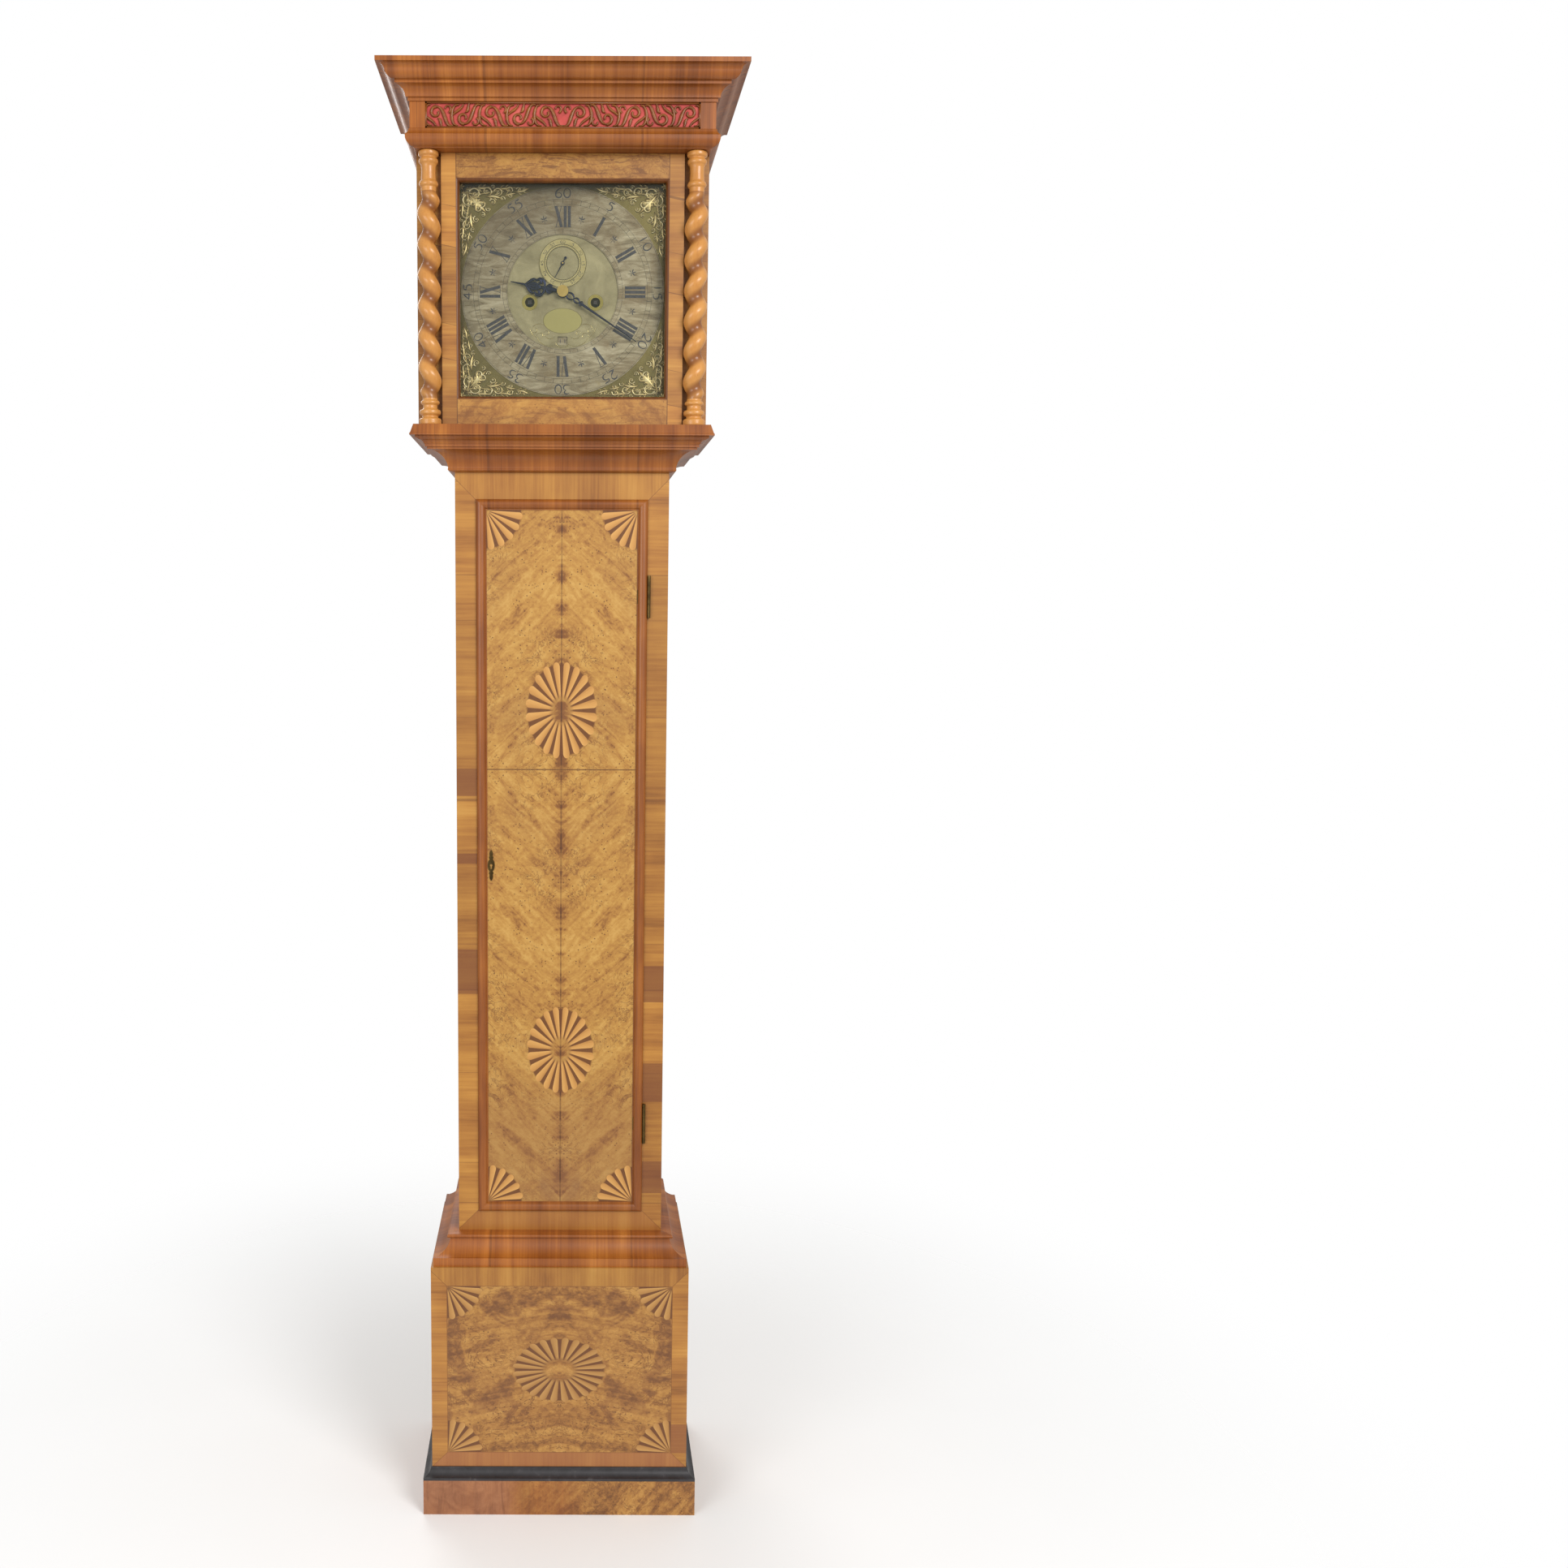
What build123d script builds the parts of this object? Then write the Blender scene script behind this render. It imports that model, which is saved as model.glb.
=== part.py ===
"""Longcase clock of about 1700: walnut case, sliding hood, brass dial and eight-day movement.

Frame: X to the right, Y to the back, Z up, in millimetres. The clock faces -Y and stands on
the floor at Z = 0, with the origin under the middle of its bounding box.
"""
from build123d import *
import os
from math import atan2, cos, degrees, pi, radians, sin, sqrt

# Heights of the case, from the floor up
skirting_height = 54.0
ebonised_height = 16.0
plinth_height = 384.0
base_moulding_height = 42.0
trunk_height = 1121.0
throat_height = 35.0
hood_base_height = 26.0
hood_opening_height = 365.0
architrave_height = 24.0
frieze_height = 34.0
cornice_height = 44.0

# Widths, depths and how far each stage stands out beyond the trunk, at the front and each side
trunk_width = 304.0
trunk_depth = 205.0
plinth_projection = 39.5
skirting_thickness = 12.5
hood_projection = 49.0
frieze_projection = 54.0
cornice_projection = 95.0

# Boards
carcase_board = 16.0
front_frame_board = 18.0
back_board = 14.0
hood_side_board = 14.0
hood_front_board = 8.0
top_board = 8.0
floor_lift = 20.0
floor_board = 12.0

# Trunk door
trunk_door_bottom_rail = 41.0
trunk_door_top_rail = 48.0
trunk_opening_width = 231.0
trunk_door_gap = 1.2
trunk_door_board = 18.0
lip_width = 15.0
lip_overlap = 7.0
lip_rise = 6.6
lip_clearance = 0.4
hinge_height = 60.0
hinge_inset = 130.0
hinge_pin_radius = 1.0
knuckle_radius = 2.4
leaf_thickness = 1.2
leaf_reach = 16.5
knuckle_offset = 2.0
knuckle_gap = 0.3
running_clearance = 0.05

# Lock and keyhole plate
lock_height_above_floor = 983.0
lock_width = 42.0
lock_tall = 60.0
lock_deep = 12.0
bolt_tall = 9.0
bolt_thick = 3.5
bolt_length = 30.0
bolt_clearance = 0.3
keyhole_x = -102.0
escutcheon_height = 46.0
escutcheon_width = 10.0
escutcheon_thickness = 1.2
keyhole_radius = 1.9

# Hood door
hood_door_clearance = 0.5
hood_glass_width = 292.0
hood_door_bottom_rail = 36.5
hood_door_top_rail = 32.5
hood_door_board = 22.0
hood_door_gap = 1.0
glass_thickness = 2.0
column_radius = 16.0
column_inset = 18.0
column_setback = 5.0
column_recess = 16.5
column_cap_height = 52.0
column_base_height = 35.0
column_neck_radius = 10.0
column_ring_radius = 13.5
strand_pitch = 82.0
strand_hollow = 0.56
fixing_block_width = 14.0
pivot_pin_radius = 2.0
pivot_pin_length = 8.0
pivot_plate_thickness = 2.0
pivot_plate_length = 34.0
pivot_plate_width = 9.0
pivot_inset = 5.0

# Hood body
window_width = 130.0
window_height = 280.0
window_from_back = 42.0
mask_opening = 297.0
fret_width = 370.0
fret_thickness = 3.0
fret_rail = 2.4
fret_units = 8
silk_thickness = 0.8
frieze_board = 12.0
frieze_rim = 4.0
moulding_depth = 55.0
cornice_depth = 62.0
slide_clearance = 1.0
board_end_clearance = 2.0

# Dial
dial_size = 305.0
dial_setback = 5.0
dial_thickness = 2.5
dial_centre_below_opening_top = 177.0
chapter_outer_radius = 142.0
chapter_inner_radius = 77.5
chapter_thickness = 1.6
seconds_offset = 39.0
seconds_outer_radius = 33.5
seconds_inner_radius = 22.0
seconds_thickness = 1.0
winding_offset_x = 46.0
winding_offset_z = -14.0
winding_hole_radius = 6.8
date_offset = 66.0
date_window_width = 13.5
date_window_height = 11.3
date_ring_width = 17.0
date_ring_thickness = 1.0
date_ring_clearance = 0.2
spandrel_thickness = 2.4
dial_foot_radius = 3.5

# Movement
plate_gap_to_dial = 35.5
plate_thickness = 3.0
plate_spacing = 62.0
plate_half_width = 65.0
plate_above_centre = 85.0
plate_below_centre = 75.0
pillar_radius = 4.0
pillar_knop_radius = 5.0
tenon_radius = 2.4
pivot_radius = 1.2
arbor_radius = 1.8
centre_arbor_radius = 2.0
barrel_arbor_radius = 3.5
end_shake = 0.5
wheel_thickness = 2.2
great_wheel_thickness = 2.5
pinion_length = 5.5
barrel_radius = 25.0
winding_square = 5.2
line_radius = 0.8
line_clearance = 0.3

# Tooth counts and modules
great_teeth = 96
centre_pinion_teeth = 8
great_module = 0.925
centre_teeth = 60
third_pinion_teeth = 8
centre_module = 0.68
third_teeth = 56
escape_pinion_teeth = 7
third_module = 0.71
cannon_teeth = 40
cannon_module = 0.78
hour_teeth = 72
minute_pinion_teeth = 6
hour_module = 0.8
escape_teeth = 30
escape_radius = 19.5
escape_depth = 3.2
pin_wheel_teeth = 56
pin_count = 8
pin_circle_radius = 15.0
pin_wheel_module = 0.7

# Anchor, pendulum and suspension
pallet_clearance = 0.12
pallet_width = 0.9
pendulum_length = 994.0
suspension_above_pallets = 5.4
pendulum_behind_plate = 22.0
rod_radius = 1.6
bob_radius = 54.0
bob_thickness = 30.0
spring_thickness = 0.3
spring_width = 10.0
slot_clearance = 0.5
crutch_length = 132.0
fork_clearance = 0.45

# Weights
weight_radius = 30.0
weight_height = 190.0
weight_lowest = 90.0
sheave_radius = 22.0
line_plane_behind_plate = 24.0

# Bell and hammer
bell_radius = 55.0
bell_height = 58.0
bell_wall = 2.5
bell_above_plates = 11.0
bell_pillar_radius = 3.0
hammer_gap = 2.0

# Hands, measured from the centre of the dial
minute_hand_length = 124.0
hour_hand_length = 74.0
seconds_hand_length = 23.0
hand_thickness = 1.2
minute_angle = 123.5
hour_angle = 280.3
seconds_angle = 209.0
collet_radius = 8.0

# Levels and planes that follow from the sizes above
z_trunk = plinth_height + base_moulding_height
z_throat = z_trunk + trunk_height
z_hood = z_throat + throat_height
z_opening = z_hood + hood_base_height
z_architrave = z_opening + hood_opening_height
z_frieze = z_architrave + architrave_height
z_cornice = z_frieze + frieze_height
z_top = z_cornice + cornice_height
y_back = (trunk_depth + cornice_projection) / 2
y_trunk = y_back - trunk_depth
y_board = y_back - back_board
half_trunk = trunk_width / 2
half_plinth = half_trunk + plinth_projection
y_plinth = y_trunk - plinth_projection
half_hood = half_trunk + hood_projection

y_column_tip = y_trunk - hood_projection
column_y = y_column_tip + column_radius
y_door_face = column_y + column_setback
y_door_back = y_door_face + hood_door_board
y_mask = y_door_back + hood_door_gap
y_recess = column_y + column_recess
column_x = half_hood - column_inset

y_dial = y_trunk + dial_setback
y_dial_back = y_dial + dial_thickness
z_dial = z_architrave - dial_centre_below_opening_top
y_front_plate = y_dial_back + plate_gap_to_dial
y_between = y_front_plate + plate_thickness
y_back_plate = y_between + plate_spacing
y_plates_end = y_back_plate + plate_thickness
z_seat = z_dial - plate_below_centre
z_cheek = z_seat - front_frame_board
y_pendulum = y_plates_end + pendulum_behind_plate
y_line = y_between + line_plane_behind_plate

trunk_opening_low = z_trunk + trunk_door_bottom_rail - (lip_width - lip_overlap) / 2
trunk_opening_high = z_throat - trunk_door_top_rail + (lip_width - lip_overlap) / 2
half_opening = trunk_opening_width / 2
y_lip = y_trunk - lip_clearance


def box(x0, x1, y0, y1, z0, z1):
    """A rectangular block between two corners."""
    return Pos(x0, y0, z0) * Box(x1 - x0, y1 - y0, z1 - z0, align=(Align.MIN, Align.MIN, Align.MIN))


def rod_y(x, z, radius, y0, y1):
    """A round rod along Y."""
    return Pos(x, y0, z) * Rot(-90, 0, 0) * Cylinder(
        radius, y1 - y0, align=(Align.CENTER, Align.CENTER, Align.MIN))


def rod_z(x, y, radius, z0, z1):
    """A round rod along Z."""
    return Pos(x, y, z0) * Cylinder(radius, z1 - z0, align=(Align.CENTER, Align.CENTER, Align.MIN))


def rod_x(y, z, radius, x0, x1):
    """A round rod along X."""
    return Pos(x0, y, z) * Rot(0, 90, 0) * Cylinder(
        radius, x1 - x0, align=(Align.CENTER, Align.CENTER, Align.MIN))


def join(pieces):
    """All the pieces fused into one."""
    whole = pieces[0]
    for piece in pieces[1:]:
        whole = whole + piece
    return whole


def save(name, pieces):
    """Writes one node, whose pieces stay separate solids."""
    solids = [solid for piece in pieces for solid in piece.solids()]
    export_step(Compound(children=solids), os.path.join("parts", name + ".step"))


def curve_edges(points, place):
    """Edges through (a, b, bulge) points: a bulge is how far the next stretch bows to its left."""
    edges = []
    for (a0, b0, bulge), (a1, b1, _) in zip(points, points[1:] + points[:1]):
        if bulge:
            length = sqrt((a1 - a0) ** 2 + (b1 - b0) ** 2)
            middle = ((a0 + a1) / 2 - bulge * (b1 - b0) / length, (b0 + b1) / 2 + bulge * (a1 - a0) / length)
            edges.append(ThreePointArc(place(a0, b0), place(*middle), place(a1, b1)))
        else:
            edges.append(Line(place(a0, b0), place(a1, b1)))
    return edges


def plan_prism(corners, z0, z1):
    """An upright prism on a plan outline."""
    face = Face(Wire.make_polygon([(x, y, z0) for x, y in corners]))
    return extrude(face, amount=z1 - z0, dir=(0, 0, 1))


def moulding_lengths(profile, inner, z0, half=half_trunk, y_face=y_trunk):
    """Front, left and right lengths of a moulding, mitred at the two front corners.

    The profile is a list of (projection beyond the face, height, bulge) from the top down,
    and the back of the moulding is at the projection inner.
    """
    closed = profile + [(inner, profile[-1][1], 0), (inner, profile[0][1], 0)]
    reach = max(point[0] for point in profile)
    tall = profile[0][1]
    front = Face(Wire(curve_edges(closed, lambda p, z: (-half - reach, y_face - p, z0 + z))))
    front = extrude(front, amount=2 * (half + reach), dir=(1, 0, 0))
    front_wedge = plan_prism([(-half - reach, y_face - reach), (half + reach, y_face - reach),
                              (half + inner, y_face - inner), (-half - inner, y_face - inner)],
                             z0, z0 + tall)
    side = Face(Wire(curve_edges(closed, lambda p, z: (half + p, y_face - reach, z0 + z))))
    side = extrude(side, amount=y_back - y_face + reach, dir=(0, 1, 0))
    side_wedge = plan_prism([(half + inner, y_face - inner), (half + reach, y_face - reach),
                             (half + reach, y_back), (half + inner, y_back)], z0, z0 + tall)
    right = side & side_wedge
    return [front & front_wedge, mirror(right, about=Plane.YZ), right]


def frame_boards(x0, x1, z0, z1, stile, bottom, top, y0, y1):
    """Two stiles and two rails around an opening, in a plane square to Y."""
    return [box(x0, x0 + stile, y0, y1, z0, z1), box(x1 - stile, x1, y0, y1, z0, z1),
            box(x0 + stile, x1 - stile, y0, y1, z0, z0 + bottom),
            box(x0 + stile, x1 - stile, y0, y1, z1 - top, z1)]


def front_plane(x, z, y):
    """A drawing plane that faces the viewer: a shape on it is extruded towards -Y."""
    return Plane(origin=(x, y, z), x_dir=(1, 0, 0), z_dir=(0, -1, 0))


def cut_out(sketch, x, z, y0, y1):
    """A flat shape drawn as seen from the front, between two depths."""
    return extrude(front_plane(x, z, y1) * sketch, amount=y1 - y0)


def polar(radius, angle):
    """A point at a radius and an angle in degrees, anticlockwise from the right."""
    return radius * cos(radians(angle)), radius * sin(radians(angle))


def leaf(start, end, width):
    """A pointed leaf between two points, bounded by two arcs."""
    dx, dz = end[0] - start[0], end[1] - start[1]
    length = sqrt(dx * dx + dz * dz)
    mid = ((start[0] + end[0]) / 2, (start[1] + end[1]) / 2)
    side = (-dz / length * width / 2, dx / length * width / 2)
    arcs = [ThreePointArc(start, (mid[0] + side[0], mid[1] + side[1]), end),
            ThreePointArc(end, (mid[0] - side[0], mid[1] - side[1]), start)]
    return make_face(arcs)


def scroll(centre, radius, width, from_angle, sweep):
    """A C-shaped scroll of even width with a round bud at each end."""
    band = Circle(radius) - Circle(radius - width)
    corners = [(0, 0)] + [polar(2 * radius, from_angle + sweep * step / 6) for step in range(7)]
    band = band & make_face(Polyline(*corners, close=True))
    for angle in (from_angle, from_angle + sweep):
        band = band + Pos(*polar(radius - width / 2, angle)) * Circle(width * 0.75)
    return Pos(*centre) * band


# Base: skirting, ebonised moulding, plinth and the moulding above it

def skirting():
    profile = [(plinth_projection + skirting_thickness, skirting_height, 0),
               (plinth_projection + skirting_thickness, 0, 0)]
    return moulding_lengths(profile, plinth_projection, 0)


def ebonised_moulding():
    top = plinth_projection + 1.5
    edge = plinth_projection + skirting_thickness
    profile = [(top, ebonised_height, -2.6), (edge - 1, 4.0, 0), (edge, 4.0, 0), (edge, 0, 0)]
    return moulding_lengths(profile, plinth_projection, skirting_height)


def plinth_front():
    return [box(-half_plinth, half_plinth, y_plinth, y_plinth + carcase_board, 0, plinth_height)]


def plinth_sides_and_floor():
    y0 = y_plinth + carcase_board
    inner = half_plinth - carcase_board
    return [box(-half_plinth, -inner, y0, y_board, 0, plinth_height),
            box(inner, half_plinth, y0, y_board, 0, plinth_height),
            box(-inner, inner, y0, y_board, floor_lift, floor_lift + floor_board)]


def base_moulding():
    height = base_moulding_height
    torus = plinth_projection + 2.5
    profile = [(8.0, height, 0), (14.0, height - 1, 2.8), (14.0, height - 6.5, 0), (12.0, height - 6.5, -5.0),
               (torus - 10, 13.0, 0), (torus - 6, 13.0, 0), (torus - 6, 11.0, 4.4),
               (torus - 6, 1.0, 0), (torus - 6, 0, 0)]
    return moulding_lengths(profile, 0, plinth_height)


# Trunk

def trunk_front_frame():
    stile = half_trunk - half_opening
    boards = frame_boards(-half_trunk, half_trunk, plinth_height, z_hood, stile,
                          trunk_opening_low - plinth_height, z_hood - trunk_opening_high,
                          y_trunk, y_trunk + front_frame_board)
    hinge_x = hinge_axis()[0]
    for z in hinge_heights():
        for z0, z1 in outer_knuckles(z):
            leaf_bed = box(half_opening, hinge_x + leaf_thickness / 2, y_trunk, y_trunk + leaf_thickness,
                           z0, z1)
            boards[1] = boards[1] - leaf_bed
    return boards


def trunk_sides():
    y0 = y_trunk + front_frame_board
    inner = half_trunk - carcase_board
    return [box(-half_trunk, -inner, y0, y_board, plinth_height, z_cheek),
            box(inner, half_trunk, y0, y_board, plinth_height, z_cheek)]


def backboard():
    hood_inner = half_hood - hood_side_board - slide_clearance
    top_inner = half_hood - moulding_depth - 2 * slide_clearance
    return [box(-half_plinth, half_plinth, y_board, y_back, 0, plinth_height),
            box(-half_trunk, half_trunk, y_board, y_back, plinth_height, z_hood),
            box(-half_trunk, half_trunk, y_board, y_back, z_hood, z_opening),
            box(-hood_inner, hood_inner, y_board, y_back, z_opening, z_architrave - board_end_clearance),
            box(-top_inner, top_inner, y_board, y_back, z_architrave - board_end_clearance,
                z_cornice - board_end_clearance)]


def throat_moulding():
    lip = 38.5
    height = throat_height
    profile = [(lip, height, 0), (lip, height - 3, 0), (lip - 2.5, height - 3, 0), (lip - 2.5, height - 6, 0),
               (lip - 4.5, height - 6, -6.0), (9.0, 7.0, 0), (9.0, 5.0, 1.2), (7.0, 1.5, 0), (2.0, 0, 0)]
    return moulding_lengths(profile, 0, z_throat)


def seatboard():
    board = box(-half_trunk, half_trunk, y_front_plate - 8, y_plates_end + 12, z_cheek, z_seat)
    for x_fall, x_end in line_positions():
        board = board - box(x_fall - 5, x_fall + 5, y_line - 14, y_line + 14, z_cheek, z_seat)
        board = board - rod_z(x_end, y_line, line_radius + line_clearance, z_cheek, z_seat)
    for x in seat_bolt_positions():
        board = board - rod_z(x, y_seat_bolt(), bolt_radius() + running_clearance, z_cheek, z_seat)
    return [board]


def bolt_radius():
    return 2.5


def y_seat_bolt():
    return y_between + plate_spacing / 2


def seat_bolt_positions():
    return [-pillar_places()[0][0], pillar_places()[0][0]]


def seat_bolt_top():
    """The bolts end inside the knops of the two lower outer pillars."""
    return z_dial + pillar_places()[0][1] - pillar_knop_radius + 2


def seatboard_bolts():
    bolts = []
    for x in seat_bolt_positions():
        shank = rod_z(x, y_seat_bolt(), bolt_radius(), z_cheek, seat_bolt_top())
        head = rod_z(x, y_seat_bolt(), 2.4 * bolt_radius(), z_cheek - 4, z_cheek)
        bolts.append(shank + head)
    return bolts


# Trunk door and its hinges and lock

def hinge_axis():
    """X and Y of the trunk door's hinge pins, just outside the lip moulding."""
    return half_opening + lip_overlap + knuckle_offset, y_trunk - lip_clearance - knuckle_radius - 0.2


def hinge_heights():
    return [trunk_opening_low + hinge_inset, trunk_opening_high - hinge_inset]


def outer_knuckles(z):
    third = hinge_height / 3
    return [(z - hinge_height / 2, z - third / 2 - knuckle_gap),
            (z + third / 2 + knuckle_gap, z + hinge_height / 2)]


def trunk_hinge_plates():
    """The fixed leaves, which lie under the door's lip, each with two knuckles and the pin."""
    x, y = hinge_axis()
    plates = []
    for z in hinge_heights():
        parts = [rod_z(x, y, hinge_pin_radius, z - hinge_height / 2, z + hinge_height / 2)]
        for z0, z1 in outer_knuckles(z):
            parts.append(rod_z(x, y, knuckle_radius, z0, z1))
            parts.append(box(x - leaf_thickness / 2, x + leaf_thickness / 2, y, y_trunk + leaf_thickness,
                             z0, z1))
            parts.append(box(half_opening, x + leaf_thickness / 2, y_trunk, y_trunk + leaf_thickness, z0, z1))
        plates.append(join(parts))
    return plates


def middle_leaf(z):
    """The door's leaf of one hinge, without its bore: it also cuts its bed."""
    x, y = hinge_axis()
    tall = hinge_height / 6
    flap = box(x - leaf_reach, x, y_lip - leaf_thickness, y_lip, z - tall, z + tall)
    return rod_z(x, y, knuckle_radius, z - tall, z + tall) + flap


def trunk_door_hinge_leaves():
    x, y = hinge_axis()
    bore = hinge_pin_radius + running_clearance
    return [middle_leaf(z) - rod_z(x, y, bore, z - hinge_height, z + hinge_height) for z in hinge_heights()]


def trunk_door_panel():
    half = half_opening - trunk_door_gap
    return [box(-half, half, y_lip, y_lip + trunk_door_board,
                trunk_opening_low + trunk_door_gap, trunk_opening_high - trunk_door_gap)]


def trunk_door_moulding():
    """Four mitred lengths of half-round lip moulding that cover the door's joint."""
    half = half_opening + lip_overlap
    low, high = trunk_opening_low - lip_overlap, trunk_opening_high + lip_overlap
    mid_z = (low + high) / 2

    def profile(place):
        points = [(0, 0, 0), (0, 1.0, -lip_rise + 1.4), (lip_width - 1.5, 1.0, 0), (lip_width, 1.0, 0),
                  (lip_width, 0, 0)]
        return Face(Wire(curve_edges([(a, b, -g) for a, b, g in points], place)))

    left = extrude(profile(lambda a, b: (-half + a, y_lip - b, low)), amount=high - low, dir=(0, 0, 1))
    bottom = extrude(profile(lambda a, b: (-half, y_lip - b, low + a)), amount=2 * half, dir=(1, 0, 0))
    w = lip_width
    left_cut = cut_out(make_face(Polyline((-half, low - mid_z), (-half + w, low - mid_z + w),
                                          (-half + w, high - mid_z - w), (-half, high - mid_z), close=True)),
                       0, mid_z, y_lip - 2 * lip_rise, y_lip)
    bottom_cut = cut_out(make_face(Polyline((-half, 0), (half, 0), (half - w, w), (-half + w, w),
                                            close=True)),
                         0, low, y_lip - 2 * lip_rise, y_lip)
    left, bottom = left & left_cut, bottom & bottom_cut
    right = mirror(left, about=Plane.YZ)
    top = mirror(bottom, about=Plane.XY.offset(mid_z))
    for z in hinge_heights():
        right = right - middle_leaf(z)
    return [left, bottom, right, top]


def keyhole_escutcheon():
    """A small baluster-shaped brass plate with a keyhole."""
    tall, wide = escutcheon_height / 2, escutcheon_width / 2
    shape = Ellipse(wide, tall * 0.42)
    for sign in (-1, 1):
        shape = shape + Pos(0, sign * tall * 0.5) * Circle(wide * 0.62)
        shape = shape + leaf((0, sign * tall * 0.45), (0, sign * tall), wide)
    shape = shape - Circle(keyhole_radius) - Pos(0, -keyhole_radius * 1.6) * Rectangle(keyhole_radius,
                                                                                       keyhole_radius * 2.6)
    return [cut_out(shape, keyhole_x, lock_height_above_floor, y_lip - escutcheon_thickness, y_lip)]


def lock_box():
    y0 = y_lip + trunk_door_board
    x0 = -half_opening + trunk_door_gap + 2
    return x0, x0 + lock_width, y0, y0 + lock_deep, lock_height_above_floor - lock_tall / 2, \
        lock_height_above_floor + lock_tall / 2


def bolt_box(margin):
    x0, _, y0, y1, _, _ = lock_box()
    y_mid, z_mid = (y0 + y1) / 2, lock_height_above_floor
    return x0 - margin, x0 + bolt_length + margin, y_mid - bolt_thick / 2 - margin, y_mid + bolt_thick / 2 + margin, \
        z_mid - bolt_tall / 2 - margin, z_mid + bolt_tall / 2 + margin


def trunk_door_lock():
    return [box(*lock_box()) - box(*bolt_box(bolt_clearance))]


def lock_bolt():
    return [box(*bolt_box(0))]


# Hood

def hood_base_moulding():
    height = hood_base_height
    tip = 58.0
    profile = [(tip - 5, height, 0), (tip - 1, 14.0, 0.6), (tip, 11.0, 0), (tip - 7, 11.0, 0),
               (tip - 7, 8.5, 0), (tip - 12, 6.0, -1.2), (tip - 18, 1.5, 0), (tip - 19.5, 0, 0)]
    lengths = moulding_lengths(profile, slide_clearance, z_hood)
    pivot = rod_z(*hood_pivot(), pivot_pin_radius + running_clearance, z_hood, z_opening)
    return [length - pivot for length in lengths]


def hood_pivot():
    """X and Y of the hood door's pivots, near its right back corner."""
    return half_hood - pivot_inset, y_door_back - pivot_inset


def hood_carcase():
    """Two side frames with a window each, the mask round the dial, and the top board."""
    inner = half_hood - hood_side_board
    y0 = y_mask
    win_y1 = y_back - window_from_back
    win_y0 = win_y1 - window_width
    win_z0 = z_opening + (hood_opening_height - window_height) / 2
    win_z1 = win_z0 + window_height
    boards = []
    for x0, x1 in ((-half_hood, -inner), (inner, half_hood)):
        boards += [box(x0, x1, y0, win_y0, z_opening, z_architrave),
                   box(x0, x1, win_y1, y_back, z_opening, z_architrave),
                   box(x0, x1, win_y0, win_y1, z_opening, win_z0),
                   box(x0, x1, win_y0, win_y1, win_z1, z_architrave)]
    side = inner - mask_opening / 2
    below = z_dial - mask_opening / 2 - z_opening
    above = z_architrave - z_dial - mask_opening / 2
    boards += frame_boards(-inner, inner, z_opening, z_architrave, side, below, above, y0,
                           y0 + hood_front_board)
    boards.append(box(-half_trunk - cornice_projection + cornice_depth,
                      half_trunk + cornice_projection - cornice_depth,
                      y_trunk - cornice_projection + cornice_depth, y_back, z_cornice, z_cornice + top_board))
    return boards


def hood_side_windows():
    win_y1 = y_back - window_from_back
    win_z0 = z_opening + (hood_opening_height - window_height) / 2
    mid = half_hood - hood_side_board / 2
    return [box(sign * mid - glass_thickness / 2, sign * mid + glass_thickness / 2, win_y1 - window_width,
                win_y1,
                win_z0, win_z0 + window_height) for sign in (-1, 1)]


def architrave():
    height = architrave_height
    tip = frieze_projection + 6
    profile = [(frieze_projection, height, 0), (frieze_projection + 1, height - 1, -1.0),
               (tip, 15.0, 0), (tip, 11.0, 2.6), (hood_projection + 1, 1.0, 0), (hood_projection, 0, 0)]
    lengths = moulding_lengths(profile, tip - moulding_depth, z_architrave)
    pivot = rod_z(*hood_pivot(), pivot_pin_radius + running_clearance, z_architrave,
                  z_architrave + pivot_pin_length)
    return [length - pivot for length in lengths]


def frieze():
    """Two side boards, two end blocks and a rim above and below the pierced panel."""
    half = half_trunk + frieze_projection
    y0 = y_trunk - frieze_projection
    y1 = y0 + frieze_board
    half_fret = fret_width / 2
    y_rim = y0 + fret_thickness + silk_thickness
    side_inner = half - frieze_board
    pieces = [box(-half, -half_fret, y0, y1, z_frieze, z_cornice),
              box(half_fret, half, y0, y1, z_frieze, z_cornice),
              box(-half_fret, half_fret, y_rim, y1, z_frieze, z_frieze + frieze_rim),
              box(-half_fret, half_fret, y_rim, y1, z_cornice - frieze_rim, z_cornice)]
    return pieces + [box(x0, x1, y1, y_back, z_frieze, z_cornice)
                     for x0, x1 in ((-half, -side_inner), (side_inner, half))]


def frieze_fret():
    """The pierced panel: rails and a run of leafy scrolls that face the middle."""
    half_w, half_h = fret_width / 2, frieze_height / 2
    shape = Rectangle(fret_width, frieze_height) - Rectangle(fret_width - 2 * fret_rail,
                                                             frieze_height - 2 * fret_rail)
    unit = fret_width / fret_units
    big = frieze_height * 0.34
    for count in range(fret_units // 2):
        x = unit * (count + 0.5)
        flip = 1 if count % 2 else -1
        motif = scroll((x - unit * 0.06, flip * 2.5), big, 2.6, 20 if flip > 0 else -20, 300 * flip)
        motif = motif + leaf((x - unit * 0.5, -flip * half_h), (x - unit * 0.04, flip * 3.0), 5.0)
        motif = motif + leaf((x + unit * 0.16, -flip * 8.0), (x + unit * 0.5, flip * half_h), 5.0)
        motif = motif + leaf((x - unit * 0.4, flip * half_h), (x - unit * 0.1, flip * 6.0), 4.0)
        motif = motif & (Pos(half_w / 2, 0) * Rectangle(half_w, frieze_height))
        shape = shape + motif + mirror(motif, about=Plane.YZ)
    shape = shape + Rectangle(fret_rail, frieze_height)
    y0 = y_trunk - frieze_projection
    return [cut_out(shape, 0, z_frieze + half_h, y0, y0 + fret_thickness)]


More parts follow.
